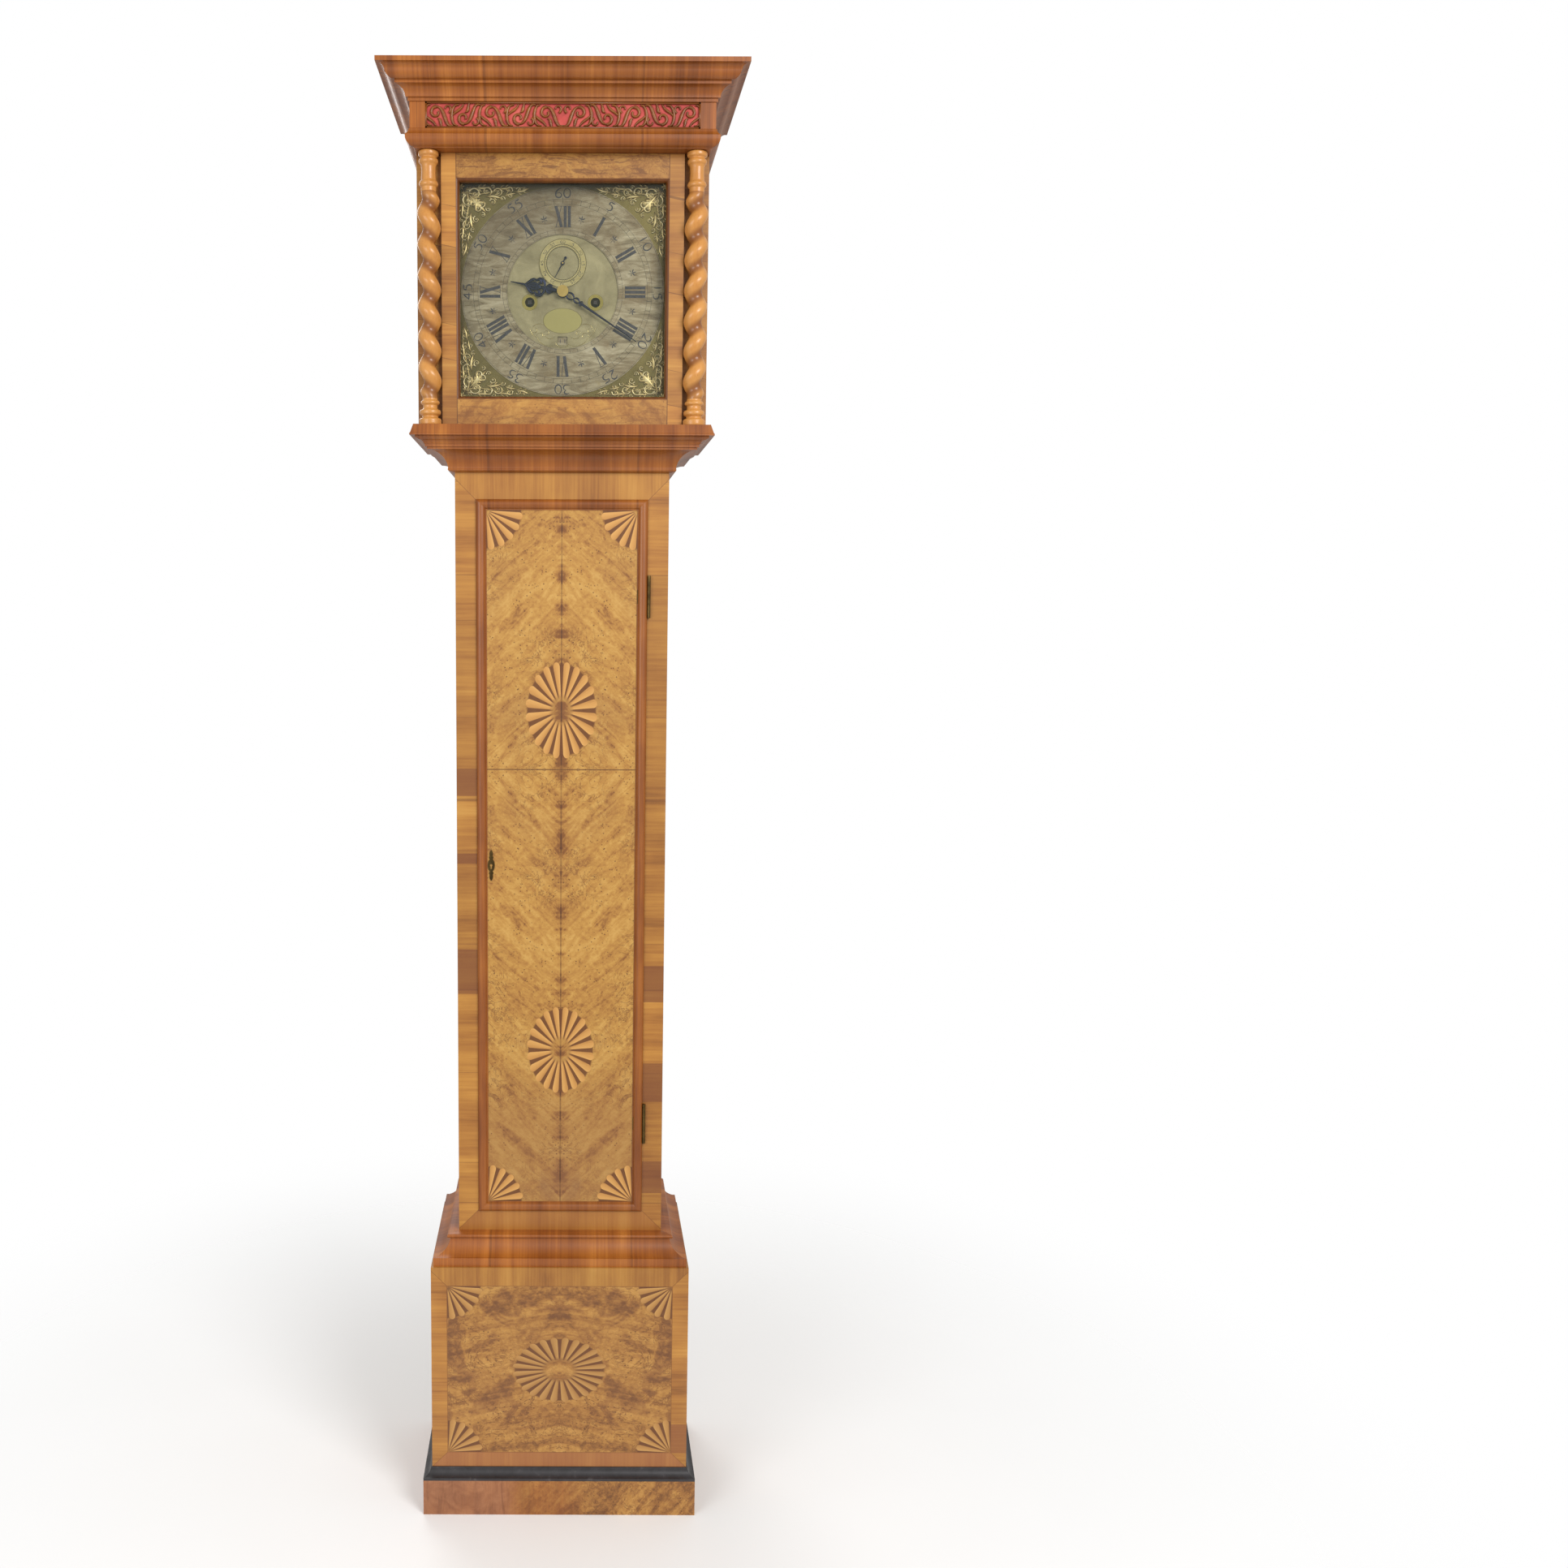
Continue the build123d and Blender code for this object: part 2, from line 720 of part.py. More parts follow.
def frieze_silk():
    y0 = y_trunk - frieze_projection + fret_thickness
    return [box(-fret_width / 2, fret_width / 2, y0, y0 + silk_thickness, z_frieze, z_cornice)]


def cornice():
    out, height = cornice_projection, cornice_height
    foot = frieze_projection
    profile = [(out, height, 0), (out, height - 6, 0), (out - 2, height - 6, -2.2),
               (out - 11, height - 13, 1.6),
               (out - 19, height - 22, 0), (out - 23, height - 22, 0), (out - 23, height - 26, -3.2),
               (foot + 5, 6.0, 0), (foot + 5, 4.5, 0), (foot + 2, 4.5, 0), (foot + 2, 0, 0)]
    return moulding_lengths(profile, out - cornice_depth, z_cornice)


# Hood door

def hood_door_frame():
    """Two stiles, rebated at the front corners for the columns, and two rails."""
    half_glass = hood_glass_width / 2
    z0, z1 = z_opening + hood_door_clearance, z_architrave - hood_door_clearance
    edge = column_x - column_recess
    pivot_x, pivot_y = hood_pivot()
    r = pivot_inset
    outline = [(half_glass, y_door_face, 0), (edge, y_door_face, 0), (edge, y_recess, 0),
               (half_hood, y_recess, 0),
               (half_hood, pivot_y, -r * (1 - sqrt(0.5))), (pivot_x, y_door_back, 0),
               (half_glass, y_door_back, 0)]
    right = extrude(Face(Wire(curve_edges(outline, lambda x, y: (x, y, z0)))), amount=z1 - z0, dir=(0, 0, 1))
    for plate in pivot_beds():
        right = right - plate
    left_outline = [(half_glass, y_door_face), (edge, y_door_face), (edge, y_recess), (half_hood, y_recess),
                    (half_hood, y_door_back), (half_glass, y_door_back)]
    left = mirror(plan_prism(left_outline, z0, z1), about=Plane.YZ)
    bottom = box(-half_glass, half_glass, y_door_face, y_door_back, z0, z0 + hood_door_bottom_rail)
    top = box(-half_glass, half_glass, y_door_face, y_door_back, z1 - hood_door_top_rail, z1)
    return [left, right, bottom, top]


def hood_door_glass():
    half = hood_glass_width / 2
    y_mid = (y_door_face + y_door_back) / 2
    return [box(-half, half, y_mid, y_mid + glass_thickness,
                z_opening + hood_door_clearance + hood_door_bottom_rail,
                z_architrave - hood_door_clearance - hood_door_top_rail)]


def pivot_beds():
    """The brass plates let into the top and bottom of the hood door at its pivots."""
    x, y = hood_pivot()
    z0, z1 = z_opening + hood_door_clearance, z_architrave - hood_door_clearance
    half = pivot_plate_width / 2 - 1
    x0 = x - pivot_plate_length
    return [box(x0, x + half, y - half, y + half, z0, z0 + pivot_plate_thickness),
            box(x0, x + half, y - half, y + half, z1 - pivot_plate_thickness, z1)]


def hood_door_pivots():
    x, y = hood_pivot()
    low, high = pivot_beds()
    z0, z1 = z_opening + hood_door_clearance, z_architrave - hood_door_clearance
    return [low + rod_z(x, y, pivot_pin_radius, z0 - pivot_pin_length + 1, z0),
            high + rod_z(x, y, pivot_pin_radius, z1, z1 + pivot_pin_length - 1)]


def turned_z(profile):
    """A shape turned about Z from (radius, height, bulge) points that start and end on the axis."""
    return revolve(Face(Wire(curve_edges(profile, lambda r, z: (r, 0, z)))), axis=Axis.Z)


def column_end(height, ring, neck):
    """The turned rings at one end of a column, from its outer end to the twist."""
    step = height / 6
    profile = [(0, 0, 0), (ring, 0, 0), (ring, step * 0.4, -1.2), (ring, step * 1.4, 0),
               (ring - 3, step * 1.6, 0),
               (ring - 3, step * 2.0, 1.2), (neck, step * 3.0, 0), (neck, step * 4.6, 0),
               (ring - 1, step * 4.8, -1.0), (ring - 1, step * 5.8, 0), (neck + 2, height, 0), (0, height, 0)]
    return turned_z(profile)


def twist_section(turn):
    """A two-lobed section: its radius swings between the strand and the hollow."""
    points = []
    for step in range(16):
        angle = 2 * pi * step / 16
        share = (1 + cos(2 * angle)) / 2
        radius = column_radius * (strand_hollow + (1 - strand_hollow) * share)
        points.append((radius * cos(angle + turn), radius * sin(angle + turn), 0))
    return Wire([Spline(*points, periodic=True)])


def twist_columns():
    """Barley-twist columns, left-handed at the left and right-handed at the right."""
    z0, z1 = z_opening + hood_door_clearance, z_architrave - hood_door_clearance
    length = z1 - z0 - column_cap_height - column_base_height
    turn = degrees(2 * pi * length / strand_pitch)
    shaft = Solid.extrude_linear_with_rotation(twist_section(0), (0, 0, 0), (0, 0, length), turn)
    base = column_end(column_base_height, column_radius - 1.2, column_ring_radius - 1)
    cap = mirror(column_end(column_cap_height, column_ring_radius, column_neck_radius), about=Plane.XY)
    right = base + Pos(0, 0, column_base_height) * shaft + Pos(0, 0, z1 - z0) * cap
    depth = column_recess
    for z in (0.0, z1 - z0 - 6.0):
        right = right + box(-fixing_block_width / 2, fixing_block_width / 2, 0, depth, z, z + 6.0)
    right = Pos(column_x, column_y, z0) * right
    return [mirror(right, about=Plane.YZ), right]


# Dial

def dial_plate():
    """The square brass plate with its holes, feet and the guides of the date ring."""
    half = dial_size / 2
    plate = box(-half, half, y_dial, y_dial_back, z_dial - half, z_dial + half)
    holes = [(0, 0, hour_pipe_radius() + 0.6), (0, seconds_offset, 2.4)]
    holes += [(sign * winding_offset_x, winding_offset_z, winding_hole_radius) for sign in (-1, 1)]
    for x, z, radius in holes:
        plate = plate - rod_y(x, z_dial + z, radius, y_dial, y_dial_back)
    window = Rectangle(date_window_width, date_window_height)
    plate = plate - cut_out(window, 0, z_dial - date_offset, y_dial, y_dial_back)
    for x, z in dial_foot_places():
        plate = plate + rod_y(x, z_dial + z, dial_foot_radius, y_dial_back, y_front_plate)
        plate = plate + rod_y(x, z_dial + z, pivot_radius, y_front_plate, y_between + 2)
    guide = date_offset + date_ring_width / 2 + date_ring_clearance + 1.5
    for angle in (45, 135, 225, 315):
        x, z = polar(guide, angle)
        plate = plate + rod_y(x, z_dial + z, 1.5, y_dial_back, y_dial_back + date_ring_thickness + 0.6)
        plate = plate + rod_y(x, z_dial + z, 3.0, y_dial_back + date_ring_thickness + 0.6,
                              y_dial_back + date_ring_thickness + 1.6)
    return [plate]


def dial_foot_places():
    x, high, low = plate_half_width - 7, plate_above_centre - 10, 20 - plate_below_centre
    return [(-x, high), (x, high), (-x, low), (x, low)]


def ring_y(x, z, outer, inner, y0, y1):
    return rod_y(x, z, outer, y0, y1) - rod_y(x, z, inner, y0, y1)


def chapter_ring():
    return [ring_y(0, z_dial, chapter_outer_radius, chapter_inner_radius, y_dial - chapter_thickness, y_dial)]


def seconds_ring():
    return [ring_y(0, z_dial + seconds_offset, seconds_outer_radius, seconds_inner_radius,
                   y_dial - seconds_thickness, y_dial)]


def date_ring():
    y0 = y_dial_back + date_ring_clearance
    half = date_ring_width / 2
    return [ring_y(0, z_dial, date_offset + half, date_offset - half, y0, y0 + date_ring_thickness)]


def spandrel_motif():
    """Scrolls and leaves for the corner at the origin, growing up and to the right."""
    half = leaf((20, 20), (47, 47), 15) + leaf((11, 11), (26, 26), 5.0) + leaf((16, 17), (106, 12.5), 6.5)
    half = half + scroll((33, 20), 8.0, 2.8, 60, 290) + scroll((50, 18.5), 7.0, 2.6, 80, 270)
    half = half + scroll((66, 17.5), 5.8, 2.3, 90, 260) + scroll((81, 16), 4.6, 2.0, 90, 260)
    half = half + leaf((30, 28), (60, 33), 7.0) + leaf((44, 27), (74, 27), 5.0) + leaf((54, 22), (84, 22),
                                                                                       5.0)
    half = half + leaf((38, 30), (54, 42), 5.0)
    for angle in range(0, 360, 60):
        half = half + Pos(*[10.5 + part for part in polar(3.6, angle)]) * Circle(2.1)
    return half + mirror(half, about=Plane(origin=(0, 0, 0), x_dir=(1, 1, 0), z_dir=(1, -1, 0)))


def spandrels():
    motif = spandrel_motif()
    edge = dial_size / 2
    first = cut_out(motif, -edge, z_dial - edge, y_dial - spandrel_thickness, y_dial)
    second = mirror(first, about=Plane.YZ)
    pair = [first, second]
    return pair + [mirror(piece, about=Plane.XY.offset(z_dial)) for piece in pair]


# Wheels, pinions and arbors

def toothed(teeth, module, phase, thick, addendum, dedendum, taper):
    """A toothed outline. thick is the share of the pitch that a tooth fills at the pitch circle."""
    pitch_radius = teeth * module / 2
    half = pi * thick / teeth
    tip_half = half * pitch_radius / (pitch_radius + addendum * module) * taper
    radii = (pitch_radius - dedendum * module, pitch_radius, pitch_radius + addendum * module)
    points = []
    for tooth in range(teeth):
        middle = phase + 2 * pi * tooth / teeth
        for radius, angle in ((radii[0], -half), (radii[1], -half), (radii[2], -tip_half),
                              (radii[2], tip_half), (radii[1], half), (radii[0], half)):
            points.append((radius * cos(middle + angle), radius * sin(middle + angle)))
    return make_face(Polyline(*points, close=True))


def crossings(hub, rim, arms, arm_width):
    """The openings between the arms of a wheel."""
    openings = []
    for arm in range(arms):
        start, end = 2 * pi * arm / arms, 2 * pi * (arm + 1) / arms
        outer = [start + arm_width / 2 / rim, (start + end) / 2, end - arm_width / 2 / rim]
        inner = [start + arm_width / 2 / hub, (start + end) / 2, end - arm_width / 2 / hub]
        out_pts = [(rim * cos(a), rim * sin(a)) for a in outer]
        in_pts = [(hub * cos(a), hub * sin(a)) for a in inner]
        openings.append(make_face([ThreePointArc(*out_pts), Line(out_pts[2], in_pts[2]),
                                   ThreePointArc(in_pts[2], in_pts[1], in_pts[0]),
                                   Line(in_pts[0], out_pts[0])]))
    return openings


def wheel(teeth, module, x, z, y0, y1, phase, bore=0.0, arms=4):
    """A crossed-out wheel: a rim of teeth, arms and a hub."""
    shape = toothed(teeth, module, phase, 0.40, 0.95, 1.2, 0.3)
    rim = teeth * module / 2 - 1.2 * module - 2.4
    hub = max(bore + 2.5, rim * 0.24)
    for opening in crossings(hub, rim, arms, 2.6):
        shape = shape - opening
    if bore:
        shape = shape - Circle(bore)
    return cut_out(shape, x, z_dial + z, y0, y1)


def pinion(teeth, module, x, z, y0, y1, phase, bore=0.0):
    """A small pinion with thin leaves."""
    shape = toothed(teeth, module, phase, 0.30, 0.70, 1.45, 0.35)
    if bore:
        shape = shape - Circle(bore)
    return cut_out(shape, x, z_dial + z, y0, y1)


def arbor(x, z, radius=arbor_radius, back=pivot_radius):
    """A shaft between the plates with a pivot through each plate."""
    y0, y1 = y_between + end_shake, y_back_plate - end_shake
    shaft = rod_y(x, z_dial + z, radius, y0, y1)
    shaft = shaft + rod_y(x, z_dial + z, pivot_radius, y_front_plate - 0.5, y0)
    return shaft + rod_y(x, z_dial + z, back, y1, y_plates_end + 0.5)


def distance(teeth_a, teeth_b, module):
    return (teeth_a + teeth_b) * module / 2


def third_place():
    """The third arbor lies where both its meshes are at their right distance."""
    to_centre = distance(centre_teeth, third_pinion_teeth, centre_module)
    to_escape = distance(third_teeth, escape_pinion_teeth, third_module)
    z = (to_centre ** 2 - to_escape ** 2 + seconds_offset ** 2) / (2 * seconds_offset)
    return sqrt(to_centre ** 2 - z ** 2), z


def great_reach():
    """Distance from the centre arbor to each barrel arbor."""
    return distance(great_teeth, centre_pinion_teeth, great_module)


def barrel_place(side):
    """A barrel arbor, at the great wheel's meshing distance from the centre."""
    return side * sqrt(great_reach() ** 2 - winding_offset_z ** 2), winding_offset_z


def minute_place():
    return 0.0, -distance(cannon_teeth, cannon_teeth, cannon_module)


def pin_wheel_place():
    x, z = barrel_place(-1)
    dx, dz = polar(great_reach(), 85.0)
    return x + dx, z + dz


def pallet_place():
    return 0.0, seconds_offset + escape_radius * sqrt(2)


def hammer_place():
    return -plate_half_width + 10, plate_above_centre - 23


def pillar_places():
    x = plate_half_width - 10
    return [(x, 10 - plate_below_centre), (-x, 10 - plate_below_centre), (0, 7 - plate_below_centre),
            (x - 10, plate_above_centre - 8), (10 - x, plate_above_centre - 8)]


def mesh(driver, driven, driven_teeth):
    """Phases that put a tooth of the driver in a gap of the driven wheel."""
    angle = atan2(driven[1] - driver[1], driven[0] - driver[0])
    return angle, angle + pi + pi / driven_teeth


# Depths of the wheels, measured back from the inside of the front plate
depth_great = 50.0
depth_strike_great = 56.5
depth_centre = 36.0
depth_third = 26.0
depth_escape = 53.0
depth_pin_wheel = 16.0
depth_drum = 5.0
drum_length = 40.0


def span(depth, thickness):
    return y_between + depth, y_between + depth + thickness


def pinion_span(depth, thickness):
    middle = y_between + depth + thickness / 2
    return middle - pinion_length / 2, middle + pinion_length / 2


def centre_wheel():
    """The centre arbor with wheel and pinion, the cannon pipe with its wheel, and the collet."""
    phase, _ = mesh((0, 0), third_place(), third_pinion_teeth)
    _, pinion_phase = mesh(barrel_place(1), (0, 0), centre_pinion_teeth)
    y_end = y_collet() - 1.0
    shaft = arbor(0, 0, centre_arbor_radius) + rod_y(0, z_dial, centre_arbor_radius, y_end,
                                                     y_between + end_shake)
    shaft = shaft + wheel(centre_teeth, centre_module, 0, 0, *span(depth_centre, wheel_thickness), phase)
    shaft = shaft + pinion(centre_pinion_teeth, great_module, 0, 0,
                           *pinion_span(depth_great, great_wheel_thickness), pinion_phase)
    shaft = shaft + rod_y(0, z_dial, centre_arbor_radius, *pinion_span(depth_great, great_wheel_thickness))
    bore = centre_arbor_radius + running_clearance
    cannon_phase, _ = mesh((0, 0), minute_place(), cannon_teeth)
    y0, y1 = motion_span()
    cannon = rod_y(0, z_dial, cannon_radius(), y_collet() + 0.05, y1)
    cannon = cannon + wheel(cannon_teeth, cannon_module, 0, 0, y0, y1, cannon_phase, bore)
    cannon = cannon - rod_y(0, z_dial, bore, y_collet() - 5, y1)
    collar = ring_y(0, z_dial, cannon_radius(), centre_arbor_radius, y1, y1 + 1.5)
    collet = rod_y(0, z_dial, collet_radius, y_collet() - 1.2, y_collet()) - rod_y(
        0, z_dial, centre_arbor_radius, y_collet() - 5, y_collet() + 5)
    return [shaft + collar, cannon, collet]


def cannon_radius():
    return centre_arbor_radius + 1.2


def hour_pipe_radius():
    return cannon_radius() + 1.5


def motion_span():
    """Depths of the cannon wheel and the minute wheel."""
    return y_front_plate - 8, y_front_plate - 6


def y_hour_wheel():
    return motion_span()[0] - 9


def y_minute_hand():
    """The front of the minute hand, which the collet presses on."""
    return y_dial - 8.4


def y_collet():
    return y_minute_hand()


def y_hour_hand():
    return y_minute_hand() + 2.8


def hour_wheel():
    """The hour wheel and its pipe, which turn freely on the cannon pipe."""
    bore = cannon_radius() + running_clearance
    _, phase = mesh(minute_place(), (0, 0), hour_teeth)
    turned = wheel(hour_teeth, hour_module, 0, 0, y_hour_wheel(), y_hour_wheel() + 2, phase, bore)
    pipe = ring_y(0, z_dial, hour_pipe_radius(), bore, y_hour_hand(), y_hour_wheel() + 2)
    return [turned + pipe]


def minute_wheel():
    """The wheel and pinion between the cannon and hour wheels, on a stud of the front plate."""
    x, z = minute_place()
    bore = stud_radius() + running_clearance
    _, phase = mesh((0, 0), (x, z), cannon_teeth)
    pinion_phase, _ = mesh((x, z), (0, 0), hour_teeth)
    y0, y1 = motion_span()
    turned = wheel(cannon_teeth, cannon_module, x, z, y0, y1, phase, bore)
    leaves = pinion(minute_pinion_teeth, hour_module, x, z, y_hour_wheel() - 1.5, y0, pinion_phase, bore)
    return [turned + leaves]


def stud_radius():
    return 0.8


def great_wheel(side, depth):
    place = barrel_place(side)
    target = (0, 0) if side > 0 else pin_wheel_place()
    phase, _ = mesh(place, target, centre_pinion_teeth)
    y0, y1 = span(depth, great_wheel_thickness)
    bore = barrel_arbor_radius + running_clearance
    return wheel(great_teeth, great_module, *place, y0, y1, phase, bore, arms=5)


def going_great_wheel():
    """The great wheel with its click, which lies just outside the barrel's ratchet."""
    x, z = barrel_place(1)
    y0, _ = span(depth_great, great_wheel_thickness)
    ratchet = ratchet_radius()
    click = box(x - 3, x + 3, y0 - 4.5, y0, z_dial + z + ratchet + 0.4, z_dial + z + ratchet + 7)
    hub = ring_y(x, z_dial + z, barrel_arbor_radius + 4, barrel_arbor_radius + running_clearance, y0 - 1,
                 y0 + 5)
    return [great_wheel(1, depth_great) + click + hub + going_click_rim(x, z, y0)]


def going_click_rim(x, z, y0):
    """A plate inside the arms that carries the click."""
    radius = ratchet_radius() + 8
    return ring_y(x, z_dial + z, radius, radius - 9, y0, y0 + great_wheel_thickness)


def ratchet_radius():
    return barrel_radius - 8


def ratchet(side, y0, y1):
    """A ratchet wheel with slanted teeth."""
    x, z = barrel_place(side)
    count, tip, root = 24, ratchet_radius(), ratchet_radius() - 2
    points = []
    for tooth in range(count):
        points += [polar(tip, 360 * tooth / count), polar(root, 360 * (tooth + 0.9) / count)]
    return cut_out(make_face(Polyline(*points, close=True)), x, z_dial + z, y0, y1)


def barrel(side):
    """A drum on its arbor, with the winding square in front and the ratchet behind."""
    x, z = barrel_place(side)
    y0 = y_between + depth_drum
    drum = rod_y(x, z_dial + z, barrel_radius, y0, y0 + drum_length)
    drum = drum + arbor(x, z, barrel_arbor_radius)
    drum = drum + rod_y(x, z_dial + z, barrel_arbor_radius, y_front_plate - 2, y_between + end_shake)
    drum = drum + ratchet(side, y0 + drum_length, y0 + drum_length + 2.5)
    half = winding_square / 2
    return drum + box(x - half, x + half, y_dial - 0.5, y_front_plate - 2, z_dial + z - half,
                      z_dial + z + half)


def going_barrel():
    return [barrel(1)]


def strike_barrel():
    """The strike barrel with its great wheel, which turn together as the weight falls."""
    x, z = barrel_place(-1)
    _, y1 = span(depth_drum, drum_length)
    y2, _ = span(depth_strike_great, great_wheel_thickness)
    spacer = ring_y(x, z_dial + z, barrel_arbor_radius + 3, barrel_arbor_radius, y1 + 2.5, y2)
    great = great_wheel(-1, depth_strike_great)
    collar = ring_y(x, z_dial + z, barrel_arbor_radius + 1, barrel_arbor_radius, y2,
                    y2 + great_wheel_thickness)
    return [barrel(-1) + spacer + great + collar]


def third_wheel():
    x, z = third_place()
    _, pinion_phase = mesh((0, 0), (x, z), third_pinion_teeth)
    phase, _ = mesh((x, z), (0, seconds_offset), escape_pinion_teeth)
    turned = arbor(x, z) + wheel(third_teeth, third_module, x, z, *span(depth_third, wheel_thickness), phase)
    return [turned + pinion(third_pinion_teeth, centre_module, x, z,
                            *pinion_span(depth_centre, wheel_thickness), pinion_phase)]


def escape_wheel():
    """The escape wheel: its thin raked teeth stand a quarter pitch from each pallet."""
    _, pinion_phase = mesh(third_place(), (0, seconds_offset), escape_pinion_teeth)
    pitch = 360 / escape_teeth
    points = []
    for tooth in range(escape_teeth):
        tip = 45 + pitch * (tooth + 0.25)
        points += [polar(escape_radius, tip - 0.6), polar(escape_radius, tip),
                   polar(escape_radius - escape_depth, tip + 2.2),
                   polar(escape_radius - escape_depth, tip + pitch - 3.6)]
    shape = make_face(Polyline(*points, close=True))
    for opening in crossings(4.5, escape_radius - escape_depth - 2.2, 5, 2.2):
        shape = shape - opening
    y0, y1 = span(depth_escape, 1.5)
    turned = cut_out(shape, 0, z_dial + seconds_offset, y0, y1) + arbor(0, seconds_offset)
    turned = turned + rod_y(0, z_dial + seconds_offset, pivot_radius, y_seconds_hand() - 0.4, y_front_plate)
    return [turned + pinion(escape_pinion_teeth, third_module, 0, seconds_offset,
                            *pinion_span(depth_third, wheel_thickness), pinion_phase)]


def pin_wheel():
    """The strike's pin wheel, whose pins lift the hammer's tail."""
    x, z = pin_wheel_place()
    _, pinion_phase = mesh(barrel_place(-1), (x, z), centre_pinion_teeth)
    y0, y1 = span(depth_pin_wheel, wheel_thickness)
    turned = arbor(x, z) + wheel(pin_wheel_teeth, pin_wheel_module, x, z, y0, y1, 0.0)
    turned = turned + ring_y(x, z_dial + z, pin_circle_radius + 2, pin_circle_radius - 2, y0, y1)
    for pin in range(pin_count):
        dx, dz = polar(pin_circle_radius, 360 * pin / pin_count)
        turned = turned + rod_y(x + dx, z_dial + z + dz, 0.8, y0 - 3, y1)
    return [turned + pinion(centre_pinion_teeth, great_module, x, z,
                            *pinion_span(depth_strike_great, great_wheel_thickness), pinion_phase)]


# Plates, pillars and cocks

def pivot_holes(y0, y1, plate, front):
    """Drills the plate for every arbor that turns in it."""
    centre_hole = centre_arbor_radius if front else pivot_radius
    barrel_hole = barrel_arbor_radius if front else pivot_radius
    holes = [((0, 0), centre_hole), (third_place(), pivot_radius), ((0, seconds_offset), pivot_radius),
             (barrel_place(1), barrel_hole), (barrel_place(-1), barrel_hole),
             (pin_wheel_place(), pivot_radius), (hammer_place(), pivot_radius),
             (pallet_place(), pivot_radius if front else 2 * arbor_radius)]
    for (x, z), radius in holes:
        plate = plate - rod_y(x, z_dial + z, radius + running_clearance, y0, y1)
    return plate


def plate_blank(y0, y1):
    return box(-plate_half_width, plate_half_width, y0, y1,
               z_dial - plate_below_centre, z_dial + plate_above_centre)


def movement_front_plate():
    plate = pivot_holes(y_front_plate, y_between, plate_blank(y_front_plate, y_between), True)
    for x, z in pillar_places():
        plate = plate - rod_y(x, z_dial + z, tenon_radius + running_clearance, y_front_plate, y_between)
    for x, z in dial_foot_places():
        plate = plate - rod_y(x, z_dial + z, pivot_radius + running_clearance, y_front_plate, y_between)
    x, z = minute_place()
    return [plate + rod_y(x, z_dial + z, stud_radius(), y_hour_wheel() - 2.5, y_front_plate)]


def movement_back_plate():
    """The back plate with its five riveted pillars."""
    plate = pivot_holes(y_back_plate, y_plates_end, plate_blank(y_back_plate, y_plates_end), False)
    for x, z in pillar_places():
        plate = plate + rod_y(x, z_dial + z, pillar_radius, y_between, y_back_plate)
        knop = y_between + plate_spacing / 2
        plate = plate + rod_y(x, z_dial + z, pillar_knop_radius, knop - 6, knop + 6)
        plate = plate + rod_y(x, z_dial + z, tenon_radius, y_front_plate - 2, y_between)
    for x in seat_bolt_positions():
        plate = plate - rod_z(x, y_seat_bolt(), bolt_radius(), z_seat, seat_bolt_top())
    return [plate]


def cock_planes():
    """Depths of the back cock's bridge."""
    return y_plates_end + 10, y_plates_end + 13


def back_cock_and_bell_stand():
    """The bridge that carries the pallet arbor and the pendulum, and the bell's curved stand."""
    y0, y1 = cock_planes()
    z = z_dial + pallet_place()[1]
    z_bend = z + suspension_above_pallets
    bridge = box(-26, 26, y0, y1, z - 10, z_bend + 8)
    for x in (-26, 16):
        bridge = bridge + box(x, x + 10, y_plates_end, y0, z - 10, z + 8)
    bridge = bridge - rod_y(0, z, pivot_radius + running_clearance, y0, y1)
    arm = box(-6, 6, y1, y_pendulum + spring_width / 2 + 1, z_bend, z_bend + 8)
    slot = spring_thickness / 2 + slot_clearance
    arm = arm - box(-slot, slot, y_pendulum - spring_width / 2 - slot_clearance,
                    y_pendulum + spring_width, z_bend, z_bend + 8)
    return [bridge + arm, bell_stand()]


def bell_levels():
    rim = z_dial + plate_above_centre + bell_above_plates
    return rim, rim + bell_height


def bell_y():
    return y_between + plate_spacing / 2


def bell_stand():
    """A bent steel rod from the back plate over the bell, with a nut on top."""
    _, top = bell_levels()
    x = plate_half_width - 20
    z0, z_over, y0 = z_dial + plate_above_centre - 12, top + 8, y_plates_end
    y_up = bell_y() + bell_radius + 7
    path = FilletPolyline((x, y0 + 4, z0), (x, y_up, z0 + 8), (x, y_up, z_over), (0, bell_y(), z_over),
                          radius=6)
    rod = sweep(Plane(origin=path @ 0, z_dir=path % 0) * Circle(bell_pillar_radius), path=path)
    foot = box(x - 6, x + 6, y0, y0 + 5, z0 - 8, z0 + 8)
    post = rod_z(0, bell_y(), bell_pillar_radius, top, z_over) + Pos(0, bell_y(),
                                                                     z_over) * Sphere(bell_pillar_radius)
    return rod + foot + post


def bell():
    """A bell struck on its rim, hung mouth down under its stand."""
    rim, top = bell_levels()
    out, wall, tall = bell_radius, bell_wall, top - rim
    profile = [(0, tall, 0), (10, tall, 3.0), (out * 0.66, tall - 12, -1.5), (out - 3, tall * 0.22, 0),
               (out, 0, 0),
               (out - wall, 0, 0), (out - 3 - wall, tall * 0.22, 1.5),
               (out * 0.66 - wall, tall - 12 - wall, -3.0),
               (10, tall - wall, 0), (0, tall - wall, 0)]
    return [Pos(0, bell_y(), rim) * turned_z(profile)]


